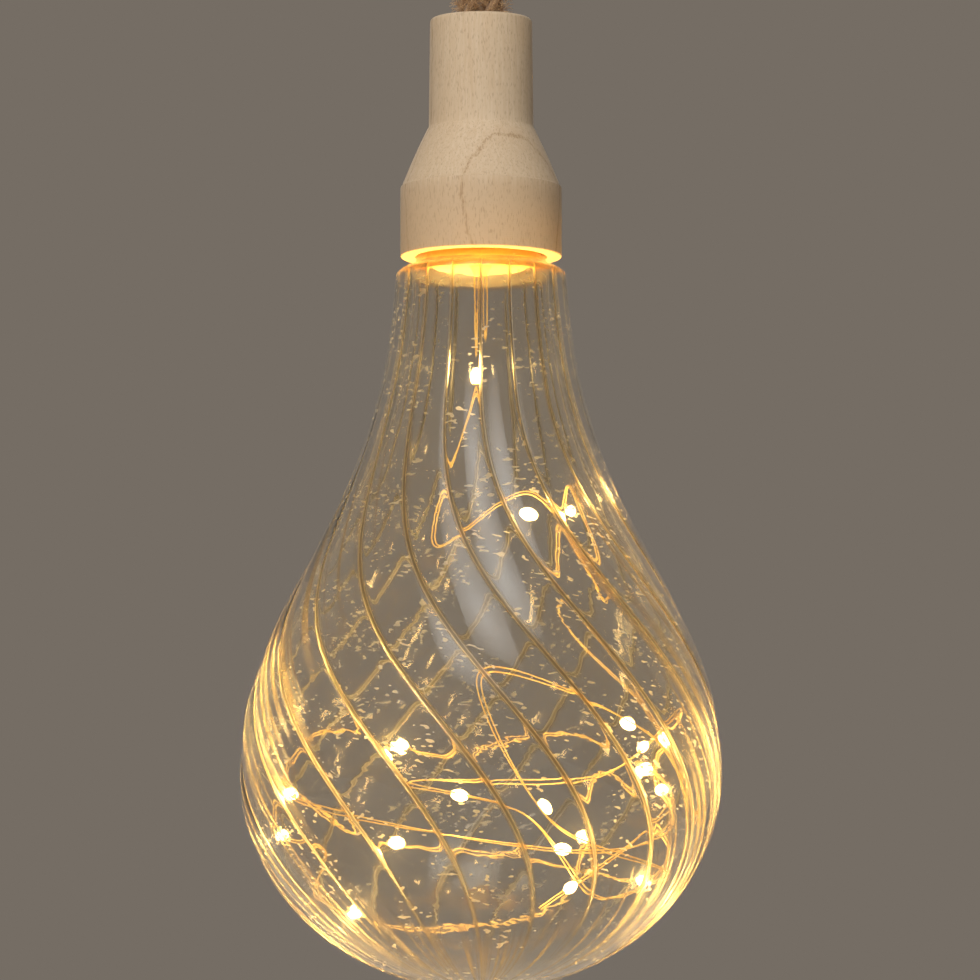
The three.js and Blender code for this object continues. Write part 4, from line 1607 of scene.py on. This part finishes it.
@dataclass
class LightString:
    """Two thin lacquered wires side by side, with twenty lit resin drops on them."""

    wire_radius: float = 0.22 * MM
    wire_sides: int = 8
    pair_width: float = 0.9 * MM
    usual_spread: float = 0.6 * MM
    leaving_spread: float = 2.3 * MM
    leaving_run: float = 36 * MM
    opening_run: float = 8 * MM
    straight_start: float = 30 * MM
    slack_steps: float = 1.2
    wave_rates: Pair = (95.0, 41.0)
    wave_shift: float = 1.3
    span_steps: int = 100
    rows: int = 1500
    steps: int = 78
    steps_per_light: int = 4
    lights: int = 20
    drop_radius: float = 2.0 * MM
    drop_half: float = 3.1 * MM
    drop_taper: float = 0.22
    drop_flatness: float = 0.86
    drop_seed: int = 5
    twist_length: float = 150 * MM
    route_mm: tuple[Triple, ...] = (
        (0, 0, -1.2),
        (-1, 0, -38), (-14, -18, -94),
        (15, -31, -79), (39, -14, -111),
        (29, 16, -70), (26, 34, -110),
        (54, 25, -141), (68, -6, -180),
        (51, -45, -155), (0, -60, -138),
        (20, -60, -182), (57, -17, -195),
        (51, 21, -196), (10, 58, -184),
        (-36, 46, -180), (-65, 4, -164),
        (-54, -38, -176), (-14, -59, -187),
        (35, -50, -192), (60, -4, -179),
        (56, 37, -158), (63, -10, -144),
        (36, -51, -169), (-22, -62, -172),
        (12, -63, -181), (36, -27, -204),
        (60, 19, -186), (38, 52, -158),
        (27, 41, -199), (-10, 45, -209),
        (-50, 16, -203), (-48, -34, -190),
        (-66, 6, -180), (-52, 44, -146),
        (-13, 66, -151), (26, 61, -144),
        (60, 16, -166), (47, -29, -187),
        (18, -46, -209),
    )

    def line(self) -> list[Vector]:
        """The pair's middle line in the row frame, through the source's route points."""
        return centripetal_line([row_point(*p) for p in self.route_mm], self.span_steps)

    def _spreads(self, count: int, length: float) -> list[float]:
        """Half the distance between the two wires, wide at the plug and at its least in each drop.

        Args:
            count: How many points the line has.
            length: The line's length in metres.

        Returns:
            A number for each point.
        """
        numbers = []
        quick, slow = self.wave_rates
        for share in (i / (count - 1) for i in range(count)):
            run = share * length
            opening = max(0.0, 1 - (run / self.leaving_run) ** 4) * min(1.0, 0.3 + run / self.opening_run)
            step = share * self.steps
            from_light = min(abs(step - (1.5 + self.steps_per_light * k)) for k in range(self.lights))
            slack = min(1.0, from_light / self.slack_steps)
            wave = math.sin(run * quick) * math.sin(run * slow + self.wave_shift)
            usual = self.usual_spread * (0.6 + slack * (0.4 + 0.25 * wave))
            numbers.append(usual + (self.leaving_spread - usual) * opening)
        return numbers

    def wire_recipe(self) -> GeometryRecipe:
        """The tree that runs two wires beside a line.

        Returns:
            The tree.
        """
        recipe = GeometryRecipe("wire_pair")
        w = recipe.wiring
        radius, twist, start, first_turn = recipe.sizes(
            "Wire Radius", "Twist Length", "Straight Start", "Start Turn"
        )
        section = w.ring(recipe.size("Sides", Socket.WHOLE), radius)
        curve = w.first("GeometryNodeMeshToCurve", {"Mesh": recipe.source})
        run = w.largest(w.minus(w.along_spline("Length"), start), 0.0)
        turn = w.plus(w.times(w.over(run, twist), FULL_TURN), first_turn)
        normal = w.first("GeometryNodeInputNormal")
        sideways = w.vectors("CROSS_PRODUCT", w.first("GeometryNodeInputTangent"), normal)
        both = w.tree.nodes.new("GeometryNodeJoinGeometry")
        for phase in (0.0, math.pi):
            angle = w.plus(turn, phase)
            outwards = w.stretched(normal, w.maths("COSINE", angle))
            across = w.stretched(sideways, w.maths("SINE", angle))
            aside = w.stretched(w.vectors("ADD", outwards, across), w.read("spread"))
            wire = w.first("GeometryNodeSetPosition", {"Geometry": curve, "Offset": aside})
            w.put(both.inputs[0], w.swept(wire, section))
        recipe.close(both.outputs[0])
        return recipe

    def drop_recipe(self) -> GeometryRecipe:
        """The tree that moulds a drop on each station of the string.

        Returns:
            The tree.
        """
        recipe = GeometryRecipe("light_drops")
        w = recipe.wiring
        radius, half = recipe.sizes("Drop Radius", "Drop Half Length")
        seed = recipe.size("Seed", Socket.WHOLE)
        ball = w.first("GeometryNodeMeshUVSphere", {"Segments": 20, "Rings": 14, "Radius": 1.0})
        x, y, z = w.parts(w.position())
        towards_tip = w.maths("ABSOLUTE", z)
        ball = w.stored(ball, "glow", w.minus(1.0, w.power(towards_tip, 1.6)))
        across = w.times(radius, w.minus(1.0, w.times(w.power(towards_tip, 2.0), self.drop_taper)))
        place = w.joined(w.times(x, across), w.times(across, self.drop_flatness, y), w.times(z, half))
        along = w.read("along", "FLOAT_VECTOR")
        recipe.close(w.first("GeometryNodeInstanceOnPoints", {
            "Points": w.first("GeometryNodeMeshToPoints", {"Mesh": recipe.source}),
            "Instance": w.moved(ball, place),
            "Rotation": w.first("FunctionNodeAlignRotationToVector", {"Vector": along}, axis="Z"),
            "Scale": w.random(0.86, 1.0, seed),
        }))
        return recipe

    def stations(self, line: Sequence[Vector]) -> Mesh:
        """The middle of each light as a loose point that keeps the string's way there.

        Args:
            line: The string's fine line.

        Returns:
            A mesh of points.
        """
        corners = evenly_spaced(line, self.steps)
        mesh = bpy.data.meshes.new("light_stations")
        places, ways = [], []
        for k in range(self.lights):
            a, b = corners[1 + self.steps_per_light * k], corners[2 + self.steps_per_light * k]
            places.append(tuple((a + b) / 2))
            ways.extend((b - a).normalized())
        mesh.from_pydata(places, [], [])
        mesh.attributes.new("along", "FLOAT_VECTOR", "POINT").data.foreach_set("vector", ways)
        return mesh

    def build(self, wire_finish: Material, drop_finish: Material) -> list[Piece]:
        """Args:
            wire_finish: The wires' material.
            drop_finish: The lit drops' material.

        Returns:
            The pieces.
        """
        line = self.line()
        length = line_length(line)
        fine = evenly_spaced(line, self.rows)
        source = line_mesh("string_line", fine, spread=self._spreads(len(fine), length))
        wires = self.wire_recipe().bake(source, "wire_pair", {
            "Material": wire_finish,
            "Wire Radius": self.wire_radius,
            "Twist Length": self.twist_length,
            "Straight Start": self.straight_start,
            "Start Turn": math.pi / 2,
            "Sides": self.wire_sides,
        })
        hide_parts("light_wire")
        drops = self.drop_recipe().bake(self.stations(line), "lit_drops", {
            "Material": drop_finish,
            "Drop Radius": self.drop_radius,
            "Drop Half Length": self.drop_half,
            "Seed": self.drop_seed,
        })
        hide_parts(*[f"light_{k:02d}" for k in range(1, self.lights + 1)])
        for piece, slot in ((wires, Slot.COPPER), (drops, Slot.LIGHT)):
            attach(piece, Body.BULB.value)
        [tuple(p) for p in evenly_spaced(line, 780)]
        return [wires, drops]


# The inner parts


@dataclass
class InnerParts:
    """The CAD nodes inside the cap, which keep their shapes and get their finishes here."""

    button: float = 1.3 * MM
    rim: float = 0.7 * MM
    upturned: int = 2

    def finishes(self) -> dict[str, MouldedFinish]:
        """The finish of each plain inner piece.

        Returns:
            A finish for each start of a node's name.
        """
        zinc = MouldedFinish("zinc_finish", linear(206, 207, 208), linear(176, 178, 181), 0.3, metallic=1.0)
        nickel = MouldedFinish(
            "nickel_finish", linear(214, 209, 198), linear(188, 182, 168), 0.24, metallic=1.0
        )
        black = MouldedFinish("black_moulding_finish", linear(46, 46, 48), linear(36, 36, 38), 0.5, bump=0.5)
        plug = MouldedFinish(
            "pale_plug_finish", linear(244, 221, 158), linear(232, 201, 132), 0.46, cloud_scale=120.0,
            bump=0.3,
        )
        rubber = MouldedFinish("seal_rubber_finish", linear(40, 39, 38), linear(30, 30, 30), 0.7, bump=0.5)
        board = MouldedFinish(
            "board_lacquer_finish", linear(44, 104, 62), linear(30, 84, 48), 0.3, coat=0.4, cloud_scale=700.0
        )
        white = MouldedFinish("white_moulding_finish", linear(232, 231, 227), linear(220, 218, 212), 0.42)
        red = MouldedFinish("red_insulation_finish", linear(176, 38, 32), linear(158, 30, 26), 0.4)
        dark = MouldedFinish("black_insulation_finish", linear(34, 34, 34), linear(26, 26, 26), 0.4)
        return {
            "knot_washer": zinc,
            "contact_spring": zinc,
            "board_screw": zinc,
            "switch_body": zinc,
            "lower_": nickel,
            "upper_": nickel,
            "battery_carrier": black,
            "timer_chip": black,
            "neck_plug": plug,
            "wire_seal": plug,
            "grip_ring": rubber,
            "circuit_board": board,
            "switch_knob": white,
            "positive_lead": red,
            "negative_lead": dark,
        }

    def cell_finish(self, k: int) -> CellFinish:
        """The finish of one cell, whose button is at its top, but for the upturned one.

        Args:
            k: The cell's number.

        Returns:
            The finish.
        """
        low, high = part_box(f"battery_cell_{k}")
        upside_down = k == self.upturned
        foot = self.rim + self.button if upside_down else self.rim
        head = self.rim if upside_down else self.rim + self.button
        return CellFinish(f"cell_sleeve_{k}_finish", low.z + foot, high.z - head)

    def dress(self, nodes: dict[str, Piece], shared: Finishes) -> int:
        """Gives each inner node its material.

        Args:
            nodes: The CAD nodes by name.
            shared: The shared groups.

        Returns:
            How many nodes it dressed.
        """
        dressed = 0
        finishes = {**self.finishes(), **{f"battery_cell_{k}": self.cell_finish(k) for k in (1, 2, 3)}}
        for start, finish in finishes.items():
            material = finish.material(shared)
            for name in (name for name in nodes if name.startswith(start)):
                paint(nodes[name], material)
                dressed += 1
        return dressed


def paint(node: Piece, material: Material) -> None:
    """Puts one material in every slot of a CAD node.

    Args:
        node: The node's object.
        material: The material.
    """
    if not node.material_slots:
        node.data.materials.append(material)
    for slot in node.material_slots:
        slot.material = material


# The whole lamp


def main() -> None:
    """Builds the camera, the cords, the cap, the glass, the inner parts and the studio, in that order."""
    logging.basicConfig(level=logging.INFO, format="%(name)s: %(message)s")
    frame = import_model()
    bpy.context.scene.view_settings.view_transform = "Standard"
    ProductCamera().place()

    shared = Finishes()
    copper = MouldedFinish(
        "lacquered_copper_finish", linear(246, 214, 140), linear(226, 184, 108), 0.32, metallic=0.75,
        cloud_scale=300.0,
    )
    made = {
        "rope": HangingRope().build(JuteFinish().material(shared), HairFinish().material(shared)),
        "light string": LightString().build(copper.material(shared), LitDropFinish().material(shared)),
        "cap": [WoodenCap().build(WoodFinish().material(shared))],
        "bulb": [GlassBulb().build(GlassFinish().material(shared))],
    }
    for word, pieces in made.items():
        for piece in pieces:
            log.info("%s: %s, %d faces", word, piece.name, len(piece.data.polygons))
    log.info("inner parts: %d nodes dressed", InnerParts().dress(frame["nodes"], shared))
    Studio().build(shared)


if __name__ == "__main__":
    main()
